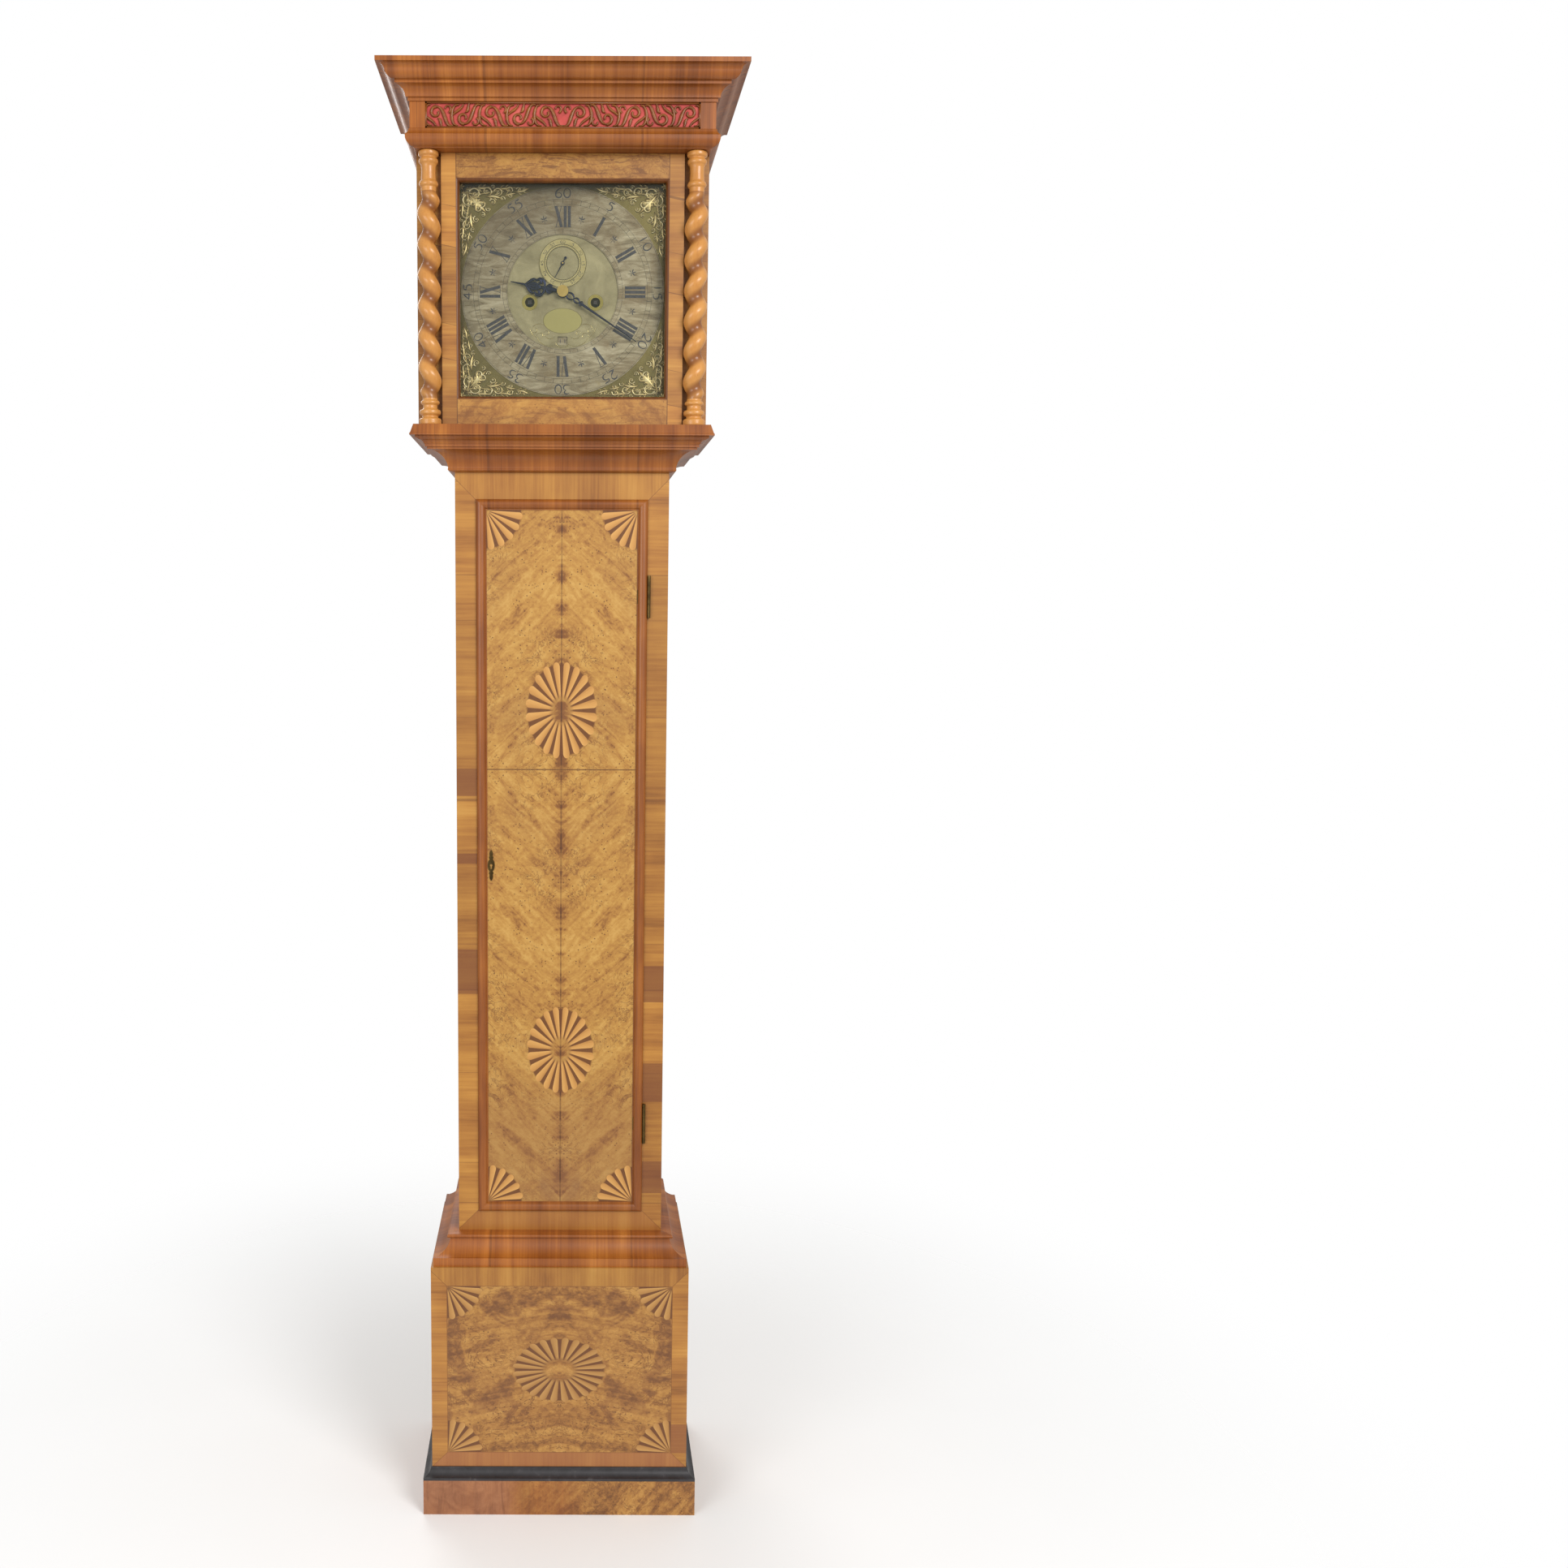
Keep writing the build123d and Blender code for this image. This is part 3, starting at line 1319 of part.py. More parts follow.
def hammer():
    """The hammer on its arbor: a tail by the pins, an arm beside the bell, and the head."""
    x, z = hammer_place()
    rim, _ = bell_levels()
    y = bell_y()
    head_z = rim + 8
    head_x = -bell_radius - hammer_gap
    turned = arbor(x, z)
    arm_x = head_x - 8
    path = FilletPolyline((x, y, z_dial + z), (arm_x, y, z_dial + z + 14), (arm_x, y, head_z), radius=8)
    arm = sweep(Plane(origin=path @ 0, z_dir=path % 0) * Circle(1.6), path=path)
    head = rod_x(y, head_z, 6.0, head_x - 14, head_x)
    y0, _ = span(depth_pin_wheel, wheel_thickness)
    tail = cut_out(leaf((-1.5, 2), (5, -11), 5.0), x, z_dial + z, y0 - 2.8, y0 - 0.6)
    return [turned + arm + head + tail + rod_y(x, z_dial + z, 3.5, y0 - 3, y0) + rod_y(x, z_dial + z, 3.5,
                                                                                       y - 3, y + 3)]


# Anchor and pendulum

def anchor():
    """Pallets, arbor, and the crutch with its fork round the pendulum rod."""
    x, z = pallet_place()
    y0, y1 = span(depth_escape - 0.5, 2.5)
    tip = escape_radius + pallet_clearance
    out = sqrt(0.5)
    nib = (tip * out, tip * out - (z - seconds_offset))
    side = out * pallet_width / 2
    far = (nib[0] + out * 6, nib[1] + out * 6)
    right = [(far[0] + out * 3.5 + side * 3, far[1] + out * 3.5 - side * 3),
             (far[0] + side * 4, far[1] - side * 4),
             (nib[0] + side, nib[1] - side), (nib[0] - side, nib[1] + side),
             (far[0] - side * 3, far[1] + side * 3)]
    left = [(-px, pz) for px, pz in reversed(right)]
    shape = make_face(Polyline((0, 4.6), *right, (0, -2.0), *left, close=True))
    body = cut_out(shape, x, z_dial + z, y0, y1) + rod_y(x, z_dial + z, 3.2, y0 - 1, y1 + 1)
    body = body + rod_y(x, z_dial + z, arbor_radius, y_between + end_shake, y_plates_end + 9.5)
    body = body + rod_y(x, z_dial + z, pivot_radius, y_front_plate - 0.5, y_plates_end + 13.5)
    y_arm = y_plates_end + 3
    z_fork = z_dial + z - crutch_length
    body = body + box(-2.4, 2.4, y_arm, y_arm + 2, z_fork, z_dial + z + 3.2)
    inner = rod_radius + fork_clearance
    body = body + box(-inner - 2, inner + 2, y_arm, y_pendulum - rod_radius - 1.5, z_fork - 1, z_fork + 4)
    for x0 in (-inner - 2, inner):
        body = body + box(x0, x0 + 2, y_pendulum - rod_radius - 2.5, y_pendulum + rod_radius + 2,
                          z_fork - 1, z_fork + 4)
    return [body]


def bend_height():
    """Where the suspension spring bends: the pendulum swings about this height."""
    return z_dial + pallet_place()[1] + suspension_above_pallets


def bob_height():
    return bend_height() - pendulum_length


def pendulum_rod():
    """The rod with the suspension spring and its top block, threaded below for the nut."""
    z = bend_height()
    strip = box(-spring_thickness / 2, spring_thickness / 2, y_pendulum - spring_width / 2,
                y_pendulum + spring_width / 2, z - 22, z + 10)
    top = box(-4, 4, y_pendulum - 4, y_pendulum + 4, z + 8.4, z + 13)
    block = box(-2.5, 2.5, y_pendulum - spring_width / 2, y_pendulum + spring_width / 2, z - 26, z - 18)
    rod = rod_z(0, y_pendulum, rod_radius, bob_height() - bob_radius - 34, z - 20)
    return [strip + top + block + rod]


def pendulum_bob():
    """A brass-cased lens-shaped bob with a hole for the rod."""
    half = bob_thickness / 2
    profile = [(0, -half, -4.0), (bob_radius, -1.2, 0), (bob_radius, 1.2, -4.0), (0, half, 0)]
    lens = revolve(Face(Wire(curve_edges(profile, lambda r, y: (r, y, 0)))), axis=Axis.Y)
    lens = Pos(0, y_pendulum, bob_height()) * lens
    return [lens - rod_z(0, y_pendulum, rod_radius, bob_height() - 2 * bob_radius,
                         bob_height() + 2 * bob_radius)]


def rating_nut():
    """The knurled nut under the bob that sets the clock's rate."""
    top = bob_height() - bob_radius
    points = []
    for step in range(24):
        points.append(polar(7.5 if step % 2 else 6.8, 360 * step / 24))
    nut = Pos(0, y_pendulum, top - 9) * extrude(make_face(Polyline(*points, close=True)), amount=8)
    stem = rod_z(0, y_pendulum, 4.0, top - 14, top - 0.3)
    bore = rod_radius + running_clearance
    return [nut + stem - rod_z(0, y_pendulum, bore, top - 20, top + 5)]


# Weights and lines

def line_positions():
    """For each side, X of the fall from the barrel and X of the end tied at the seatboard."""
    reach = barrel_radius + line_radius + line_clearance
    spread = 2 * (sheave_radius + line_radius + line_clearance)
    return [(barrel_place(side)[0] - reach, barrel_place(side)[0] - reach + spread) for side in (1, -1)]


def sheave_height():
    return weight_lowest + weight_height + 46


def weight(which):
    """A brass-cased weight with its hook, the pulley's stirrup and the grooved sheave."""
    fall, end = line_positions()[which]
    x = (fall + end) / 2
    top = weight_lowest + weight_height
    z = sheave_height()
    r, tall = weight_radius, weight_height
    profile = [(0, 0, 0), (r - 4, 0, -1.6), (r, 4, 0), (r, tall - 4, -1.6), (r - 4, tall, 0), (5, tall, 0),
               (5, tall + 5, 0), (2, tall + 6, 0), (2, tall + 17, 0), (0, tall + 17, 0)]
    casing = Pos(x, y_line, weight_lowest) * turned_z(profile)
    rim = sheave_radius + 2.2
    disc_profile = [(0, -3, 0), (rim, -3, 0), (rim, -2.4, 0), (sheave_radius, -0.9, 0),
                    (sheave_radius, 0.9, 0),
                    (rim, 2.4, 0), (rim, 3, 0), (0, 3, 0)]
    sheave = revolve(Face(Wire(curve_edges(disc_profile, lambda a, y: (a, y, 0)))), axis=Axis.Y)
    sheave = Pos(x, y_line, z) * sheave - rod_y(x, z, 2.0, y_line - 5, y_line + 5)
    stirrup = box(x - 4, x + 4, y_line - 6, y_line + 6, top + 17, top + 20)
    for y0 in (y_line - 6, y_line + 4):
        stirrup = stirrup + box(x - 4, x + 4, y0, y0 + 2, top + 17, z + 5)
    pin = rod_y(x, z, 2.0, y_line - 6, y_line + 6)
    return [casing, sheave, stirrup + pin]


def line(which):
    """The gut line from the barrel, under the sheave, and up to its knot on the seatboard."""
    fall, end = line_positions()[which]
    x, z = (fall + end) / 2, sheave_height()
    radius = (end - fall) / 2
    z_barrel = z_dial + winding_offset_z
    path = Wire([Line((fall, y_line, z_barrel), (fall, y_line, z)),
                 ThreePointArc((fall, y_line, z), (x, y_line, z - radius), (end, y_line, z)),
                 Line((end, y_line, z), (end, y_line, z_seat + 1))])
    tube = sweep(Plane(origin=(fall, y_line, z_barrel), z_dir=(0, 0, -1)) * Circle(line_radius), path=path)
    return [tube + Pos(end, y_line, z_seat + 2.2) * Sphere(2.0)]


# Hands

def turned_hand(shape, angle, y, x=0.0, z=0.0):
    """A flat hand drawn pointing up, turned clockwise to its angle."""
    return cut_out(Rot(0, 0, -angle) * shape, x, z_dial + z, y, y + hand_thickness)


def minute_hand():
    """A long tapered hand with two small pierced loops near its boss."""
    shape = Circle(7.0) + Pos(0, 14) * (Ellipse(5.6, 7.2) - Ellipse(3.8, 5.4))
    shape = shape + Pos(0, 25) * (Ellipse(4.0, 5.0) - Ellipse(2.4, 3.4))
    shape = shape + make_face(Polyline((-1.5, 29), (1.5, 29), (0.5, minute_hand_length),
                                       (-0.5, minute_hand_length),
                                       close=True))
    shape = shape - Circle(cannon_radius())
    return [turned_hand(shape, minute_angle, y_minute_hand())]


def hour_hand():
    """A shorter hand with a pierced and scrolled head."""
    shape = Circle(8.5) + Pos(0, 17) * (Ellipse(8.5, 9.5) - Ellipse(6.3, 7.3))
    for sign in (-1, 1):
        shape = shape + Pos(sign * 6.6, 31) * (Circle(6.2) - Circle(4.2)) + leaf((sign * 5, 36), (0, 47), 4.0)
    shape = shape + Pos(0, 31) * Rectangle(2.6, 30) + leaf((0, 42), (0, 62), 7.0)
    shape = shape + make_face(Polyline((-1.2, 58), (1.2, 58), (0.5, hour_hand_length),
                                       (-0.5, hour_hand_length),
                                       close=True))
    shape = shape - Circle(hour_pipe_radius())
    return [turned_hand(shape, hour_angle, y_hour_hand())]


def y_seconds_hand():
    return y_dial - seconds_thickness - 1.6


def seconds_hand():
    """A thin pointer with a short tail."""
    tip = seconds_hand_length
    shape = Circle(2.6) + make_face(Polyline((-0.8, 0), (0.8, 0), (0.25, tip), (-0.25, tip), close=True))
    shape = shape + make_face(Polyline((-0.6, 0), (0.6, 0), (0.6, -7), (-0.6, -7), close=True)) + Pos(0,
                                                                                                      -8) * Circle(1.9)
    shape = shape - Circle(pivot_radius)
    return [cut_out(Rot(0, 0, -seconds_angle) * shape, 0, z_dial + seconds_offset,
                    y_seconds_hand(), y_seconds_hand() + 0.8)]


NODES = {
    "skirting": skirting, "ebonised_moulding": ebonised_moulding, "plinth_front": plinth_front,
    "plinth_sides_and_floor": plinth_sides_and_floor, "base_moulding": base_moulding,
    "trunk_front_frame": trunk_front_frame, "trunk_sides": trunk_sides, "backboard": backboard,
    "throat_moulding": throat_moulding, "seatboard": seatboard, "seatboard_bolts": seatboard_bolts,
    "trunk_hinge_plates": trunk_hinge_plates, "trunk_door_hinge_leaves": trunk_door_hinge_leaves,
    "trunk_door_panel": trunk_door_panel, "trunk_door_moulding": trunk_door_moulding,
    "keyhole_escutcheon": keyhole_escutcheon, "trunk_door_lock": trunk_door_lock, "lock_bolt": lock_bolt,
    "hood_base_moulding": hood_base_moulding, "hood_carcase": hood_carcase,
    "hood_side_windows": hood_side_windows, "architrave": architrave, "frieze": frieze,
    "frieze_fret": frieze_fret, "frieze_silk": frieze_silk, "cornice": cornice,
    "hood_door_frame": hood_door_frame, "hood_door_glass": hood_door_glass,
    "hood_door_pivots": hood_door_pivots, "twist_columns": twist_columns,
    "dial_plate": dial_plate, "chapter_ring": chapter_ring, "seconds_ring": seconds_ring,
    "date_ring": date_ring, "spandrels": spandrels, "movement_front_plate": movement_front_plate,
    "movement_back_plate": movement_back_plate, "back_cock_and_bell_stand": back_cock_and_bell_stand,
    "bell": bell, "hammer": hammer, "centre_wheel": centre_wheel, "hour_wheel": hour_wheel,
    "minute_wheel": minute_wheel, "going_great_wheel": going_great_wheel, "going_barrel": going_barrel,
    "strike_barrel": strike_barrel, "third_wheel": third_wheel, "escape_wheel": escape_wheel,
    "pin_wheel": pin_wheel, "anchor": anchor, "pendulum_rod": pendulum_rod, "pendulum_bob": pendulum_bob,
    "rating_nut": rating_nut, "going_weight": lambda: weight(0), "strike_weight": lambda: weight(1),
    "going_line": lambda: line(0), "strike_line": lambda: line(1), "minute_hand": minute_hand,
    "hour_hand": hour_hand, "seconds_hand": seconds_hand,
}

os.makedirs("parts", exist_ok=True)
for node_name, make in NODES.items():
    save(node_name, make())
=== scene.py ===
"""Looks for a walnut longcase clock with a sliding hood, twist columns and a square brass dial.

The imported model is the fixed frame. Rigid pieces whose shape is right keep their CAD mesh and get
a procedural finish; the twist columns, pierced frieze, silk, dial engraving, spandrels, hands and
gut lines are built here as surfaces worked out with numpy.
"""

import logging
import math
from dataclasses import dataclass
from enum import Enum
from typing import Sequence

import bpy
import numpy as np
from mathutils import Matrix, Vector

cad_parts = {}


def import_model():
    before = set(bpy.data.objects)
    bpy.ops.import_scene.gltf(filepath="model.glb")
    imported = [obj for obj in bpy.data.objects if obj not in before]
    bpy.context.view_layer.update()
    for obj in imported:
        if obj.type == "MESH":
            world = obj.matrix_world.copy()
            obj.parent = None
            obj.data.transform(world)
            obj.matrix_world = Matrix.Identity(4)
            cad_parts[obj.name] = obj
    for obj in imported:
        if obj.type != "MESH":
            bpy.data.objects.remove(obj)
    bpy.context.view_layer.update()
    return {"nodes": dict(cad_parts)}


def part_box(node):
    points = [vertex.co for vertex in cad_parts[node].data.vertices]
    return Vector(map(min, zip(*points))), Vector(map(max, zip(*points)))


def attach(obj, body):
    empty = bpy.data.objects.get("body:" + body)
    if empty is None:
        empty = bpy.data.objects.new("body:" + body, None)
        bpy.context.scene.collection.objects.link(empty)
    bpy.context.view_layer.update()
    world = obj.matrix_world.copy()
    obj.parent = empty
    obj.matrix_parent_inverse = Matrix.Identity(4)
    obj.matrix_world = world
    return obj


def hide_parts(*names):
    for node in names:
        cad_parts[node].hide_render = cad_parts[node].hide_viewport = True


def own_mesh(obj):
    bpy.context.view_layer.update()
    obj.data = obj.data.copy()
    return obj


log = logging.getLogger("longcase")
Socket = bpy.types.NodeSocket
Number = float | Socket


def tint(red: float, green: float, blue: float) -> tuple[float, float, float, float]:
    """A screen colour of 0 to 255 as the linear colour that a shader takes."""
    values = np.array([red, green, blue]) / 255.0
    linear = np.where(values <= 0.04045, values / 12.92, ((values + 0.055) / 1.055) ** 2.4)
    return (float(linear[0]), float(linear[1]), float(linear[2]), 1.0)


# Node materials


class NodeSheet:
    """One node material under construction, with short calls for the nodes that the finishes use."""

    def __init__(self, name: str) -> None:
        """Makes the material with its shader and the Object coordinates split into x, y and z.

        Args:
            name: the material's name.
        """
        self.material = bpy.data.materials.new(name)
        self.material.use_nodes = True
        self.tree = self.material.node_tree
        self.tree.nodes.clear()
        output = self.tree.nodes.new("ShaderNodeOutputMaterial")
        self.shader = self.tree.nodes.new("ShaderNodeBsdfPrincipled")
        self.tree.links.new(self.shader.outputs[0], output.inputs[0])
        self.coords = self.tree.nodes.new("ShaderNodeTexCoord")
        self.place = self.coords.outputs["Object"]
        split = self.tree.nodes.new("ShaderNodeSeparateXYZ")
        self.tree.links.new(self.place, split.inputs[0])
        self.x, self.y, self.z = split.outputs

    def feed(self, socket: Socket, value: object) -> None:
        """Links a socket to another one, or sets its value."""
        if isinstance(value, bpy.types.NodeSocket):
            self.tree.links.new(value, socket)
        else:
            socket.default_value = value

    def math(self, kind: str, *values: Number, clamp: bool = False) -> Socket:
        """A math node on one to three numbers or sockets."""
        node = self.tree.nodes.new("ShaderNodeMath")
        node.operation, node.use_clamp = kind, clamp
        for socket, value in zip(node.inputs, values):
            self.feed(socket, value)
        return node.outputs[0]

    def add(self, a: Number, b: Number) -> Socket:
        """Sum of two values."""
        return self.math("ADD", a, b)

    def sub(self, a: Number, b: Number) -> Socket:
        """First value less the second."""
        return self.math("SUBTRACT", a, b)

    def mul(self, a: Number, b: Number) -> Socket:
        """Product of two values."""
        return self.math("MULTIPLY", a, b)

    def div(self, a: Number, b: Number) -> Socket:
        """First value over the second."""
        return self.math("DIVIDE", a, b)

    def below(self, a: Number, b: Number) -> Socket:
        """1 where a is below b."""
        return self.math("LESS_THAN", a, b)

    def above(self, a: Number, b: Number) -> Socket:
        """1 where a is above b."""
        return self.math("GREATER_THAN", a, b)

    def size(self, a: Number) -> Socket:
        """Absolute value."""
        return self.math("ABSOLUTE", a)

    def distance(self, a: Number, b: Number) -> Socket:
        """Length of a level and an upright offset taken together."""
        return self.math("SQRT", self.add(self.mul(a, a), self.mul(b, b)))

    def near(self, a: Number, b: Number, width: float) -> Socket:
        """1 where a is within a width of b."""
        return self.below(self.size(self.sub(a, b)), width)

    def either(self, *masks: Number) -> Socket:
        """1 where any mask is 1."""
        total = masks[0]
        for mask in masks[1:]:
            total = self.math("MAXIMUM", total, mask)
        return total

    def both(self, *masks: Number) -> Socket:
        """1 where every mask is 1."""
        total = masks[0]
        for mask in masks[1:]:
            total = self.math("MINIMUM", total, mask)
        return total

    def ease(self, value: Number, low: float, high: float) -> Socket:
        """Rises smoothly from 0 at low to 1 at high, or falls where high is the smaller."""
        node = self.tree.nodes.new("ShaderNodeMapRange")
        node.interpolation_type = "SMOOTHSTEP"
        flip = high < low
        self.feed(node.inputs["Value"], value)
        self.feed(node.inputs["From Min"], min(low, high))
        self.feed(node.inputs["From Max"], max(low, high))
        self.feed(node.inputs["To Min"], 1.0 if flip else 0.0)
        self.feed(node.inputs["To Max"], 0.0 if flip else 1.0)
        return node.outputs["Result"]

    def spot(self, x: Number, y: Number, z: Number) -> Socket:
        """Three values as a vector."""
        node = self.tree.nodes.new("ShaderNodeCombineXYZ")
        for socket, value in zip(node.inputs, (x, y, z)):
            self.feed(socket, value)
        return node.outputs[0]

    def noise(self, place: Socket, scale: float, detail: float = 4.0, rough: float = 0.55,
              warp: float = 0.0) -> Socket:
        """Fractal noise from 0 to 1."""
        node = self.tree.nodes.new("ShaderNodeTexNoise")
        self.feed(node.inputs["Vector"], place)
        for name, value in (("Scale", scale), ("Detail", detail), ("Roughness", rough), ("Distortion", warp)):
            self.feed(node.inputs[name], value)
        return node.outputs[0]

    def cells(self, place: Socket, scale: float) -> Socket:
        """Distance to the nearest of scattered points."""
        node = self.tree.nodes.new("ShaderNodeTexVoronoi")
        self.feed(node.inputs["Vector"], place)
        self.feed(node.inputs["Scale"], scale)
        return node.outputs["Distance"]

    def lot(self, place: Socket) -> Socket:
        """A different number from 0 to 1 for each different place."""
        node = self.tree.nodes.new("ShaderNodeTexWhiteNoise")
        node.noise_dimensions = "3D"
        self.feed(node.inputs["Vector"], place)
        return node.outputs["Value"]

    def ramp(self, value: Number, stops: Sequence[tuple[float, tuple]]) -> Socket:
        """Colours along a value, from (place, colour) stops."""
        node = self.tree.nodes.new("ShaderNodeValToRGB")
        self.feed(node.inputs[0], value)
        marks = node.color_ramp.elements
        while len(marks) < len(stops):
            marks.new(0.5)
        for mark, (where, colour) in zip(marks, stops):
            mark.position, mark.color = where, colour
        return node.outputs[0]

    def mix(self, share: Number, a: object, b: object, kind: str = "MIX") -> Socket:
        """Blends two colours."""
        node = self.tree.nodes.new("ShaderNodeMix")
        node.data_type, node.blend_type = "RGBA", kind
        for index, value in ((0, share), (6, a), (7, b)):
            self.feed(node.inputs[index], value)
        return node.outputs[2]

    def shade(self, colour: Socket, amount: Number) -> Socket:
        """Multiplies a colour by a grey level."""
        return self.mix(1.0, colour, self.spot(amount, amount, amount), "MULTIPLY")

    def finish(self, colour: object, rough: Number, metal: float = 0.0, bump: Socket | None = None,
               depth: float = 0.0005, coat: float = 0.0) -> bpy.types.Material:
        """Sets the shader and returns the material.

        Args:
            colour: base colour, a value or a socket.
            rough: roughness, a value or a socket.
            metal: 1 for metal.
            bump: a height from 0 to 1, or None.
            depth: what a height of 1 stands for, in metres.
            coat: weight of a clear polish.
        """
        self.feed(self.shader.inputs["Base Color"], colour)
        self.feed(self.shader.inputs["Roughness"], rough)
        self.shader.inputs["Metallic"].default_value = metal
        self.shader.inputs["Coat Weight"].default_value = coat
        self.shader.inputs["Coat Roughness"].default_value = 0.18
        if bump is not None:
            node = self.tree.nodes.new("ShaderNodeBump")
            node.inputs["Strength"].default_value = 0.8
            node.inputs["Distance"].default_value = depth
            self.feed(node.inputs["Height"], bump)
            self.feed(self.shader.inputs["Normal"], node.outputs[0])
        return self.material


class Grain(Enum):
    """Which way the grain of a veneer or board runs."""

    UPRIGHT = "upright"
    LEVEL = "level"
    ACROSS = "across"


Stops = tuple[tuple[float, tuple], ...]


def tones(*marks: tuple[float, float, float, float]) -> Stops:
    """Colour stops from (place, red, green, blue) with screen colours of 0 to 255."""
    return tuple((place, tint(*colour)) for place, *colour in marks)


WALNUT: Stops = tones((0.0, 116, 68, 26), (0.3, 160, 104, 42), (0.7, 184, 128, 54), (1.0, 200, 148, 70))
MOULDING: Stops = tones((0.0, 104, 52, 16), (0.4, 142, 78, 26), (0.7, 164, 96, 34), (1.0, 190, 120, 48))
BURR: Stops = tones((0.0, 124, 76, 32), (0.26, 168, 118, 54), (0.55, 184, 136, 64), (1.0, 202, 158, 84))
PLINTH_BURR: Stops = tones((0.0, 110, 68, 30), (0.28, 152, 102, 46), (0.58, 174, 124, 58),
                           (1.0, 198, 150, 78))
COLUMN: Stops = tones((0.0, 168, 104, 46), (0.45, 200, 138, 68), (1.0, 218, 162, 92))
TRUNK_CORNER = (0.152, -0.055)
DIAL_CENTRE = 1.796
DIAL_FACE = -0.050
GLASS_HALF = 0.146
COLUMN_X, COLUMN_Y = 0.183, -0.088


def along_moulding(sheet: NodeSheet) -> Socket:
    """Distance along a mitred moulding: x on its front, y on its side returns.

    Every moulding is mitred on the plane through the trunk's front corner, where how far x lies
    outside the trunk's side equals how far y lies in front of the trunk's face.
    """
    side, front = TRUNK_CORNER
    out = sheet.sub(sheet.size(sheet.x), side)
    ahead = sheet.sub(front, sheet.y)
    on_side = sheet.above(out, sheet.add(ahead, 0.0001))
    return sheet.add(sheet.mul(sheet.sub(1.0, on_side), sheet.x), sheet.mul(on_side, sheet.y))


def grain(sheet: NodeSheet, way: Grain, scale: float = 1.0) -> Socket:
    """Long narrow streaks: noise squeezed tightly across the grain and stretched along it.

    Args:
        sheet: the material under construction.
        way: UPRIGHT runs along z, LEVEL along x, and ACROSS runs up the profile of a mitred moulding.
        scale: above 1 for a finer grain.
    Returns:
        A value from 0 to 1.
    """
    slow, fast = 2.2 * scale, 62.0 * scale
    if way is Grain.LEVEL:
        place = sheet.spot(sheet.mul(sheet.x, slow), sheet.mul(sheet.y, slow), sheet.mul(sheet.z, fast))
    elif way is Grain.ACROSS:
        place = sheet.spot(sheet.mul(along_moulding(sheet), fast), 0.0, sheet.mul(sheet.z, slow))
    else:
        place = sheet.spot(sheet.mul(sheet.x, fast), sheet.mul(sheet.y, fast), sheet.mul(sheet.z, slow))
    broad = sheet.noise(place, 0.55, 3.0, 0.5, 0.3)
    fine = sheet.noise(place, 4.5, 2.0, 0.6)
    cloud = sheet.noise(sheet.place, 14.0, 3.0, 0.5)
    value = sheet.add(sheet.mul(broad, 0.5), sheet.add(sheet.mul(fine, 0.28), sheet.mul(cloud, 0.26)))
    return sheet.ease(value, 0.26, 0.80)


def blocks(sheet: NodeSheet, along: Number, length: float, low: float, high: float) -> Socket:
    """A tone that changes from one cut of cross-banding to the next, each about one length long."""
    wobble = sheet.mul(sheet.math("SINE", sheet.mul(along, 37.0)), 0.25)
    index = sheet.math("FLOOR", sheet.add(sheet.div(along, length), wobble))
    side = sheet.above(sheet.x, 0.0)
    chance = sheet.lot(sheet.spot(index, side, 3.7))
    return sheet.add(sheet.mul(chance, high - low), low)


def block_joint(sheet: NodeSheet, along: Number, length: float) -> Socket:
    """1 on the thin joints between those cuts."""
    wobble = sheet.mul(sheet.math("SINE", sheet.mul(along, 37.0)), 0.25)
    part = sheet.math("FRACT", sheet.add(sheet.div(along, length), wobble))
    return sheet.below(part, 0.014)


def burr(sheet: NodeSheet, across: Number, up: Number, dark: Number, seed: float, stops: Stops = BURR,
         lean: float = -1.0) -> Socket:
    """Cloudy golden burr with slanting feather figure, thin veins and pin knots.

    Args:
        sheet: the material under construction.
        across: distance from the upright joint.
        up: distance from the level joint.
        dark: 0 to 1, more brown figure where it is higher.
        seed: shifts the pattern.
        stops: the palette.
        lean: slope of the feather figure, rise over run.
    """
    place = sheet.spot(across, seed, up)
    long = sheet.add(across, sheet.mul(up, lean))
    short = sheet.sub(up, sheet.mul(across, lean))
    feather = sheet.noise(sheet.spot(sheet.mul(long, 6.0), seed, sheet.mul(short, 44.0)), 1.0, 6.0, 0.66, 1.0)
    cloud = sheet.noise(place, 17.0, 6.0, 0.62, 1.4)
    swirl = sheet.noise(place, 44.0, 5.0, 0.62, 2.4)
    fine = sheet.noise(place, 190.0, 3.0, 0.6, 0.8)
    tone = sheet.add(sheet.mul(cloud, 0.22), sheet.mul(feather, 0.42))
    tone = sheet.add(tone, sheet.add(sheet.mul(swirl, 0.22), sheet.mul(fine, 0.18)))
    tone = sheet.sub(tone, sheet.mul(dark, 0.15))
    colour = sheet.ramp(sheet.ease(tone, 0.36, 0.68), stops)
    ridge = sheet.size(sheet.sub(sheet.noise(place, 30.0, 7.0, 0.66, 2.2), 0.5))
    vein = sheet.mul(sheet.ease(ridge, 0.026, 0.0), sheet.ease(sheet.noise(place, 9.0, 2.0), 0.40, 0.60))
    colour = sheet.mix(sheet.mul(vein, 0.85), colour, tint(108, 64, 28))
    knot = sheet.ease(sheet.cells(place, 170.0), 0.24, 0.08)
    knot = sheet.mul(knot,
                     sheet.ease(sheet.add(sheet.noise(place, 22.0, 2.0), sheet.mul(dark, 0.1)), 0.43, 0.58))
    return sheet.mix(sheet.mul(knot, 0.85), colour, tint(88, 48, 20))


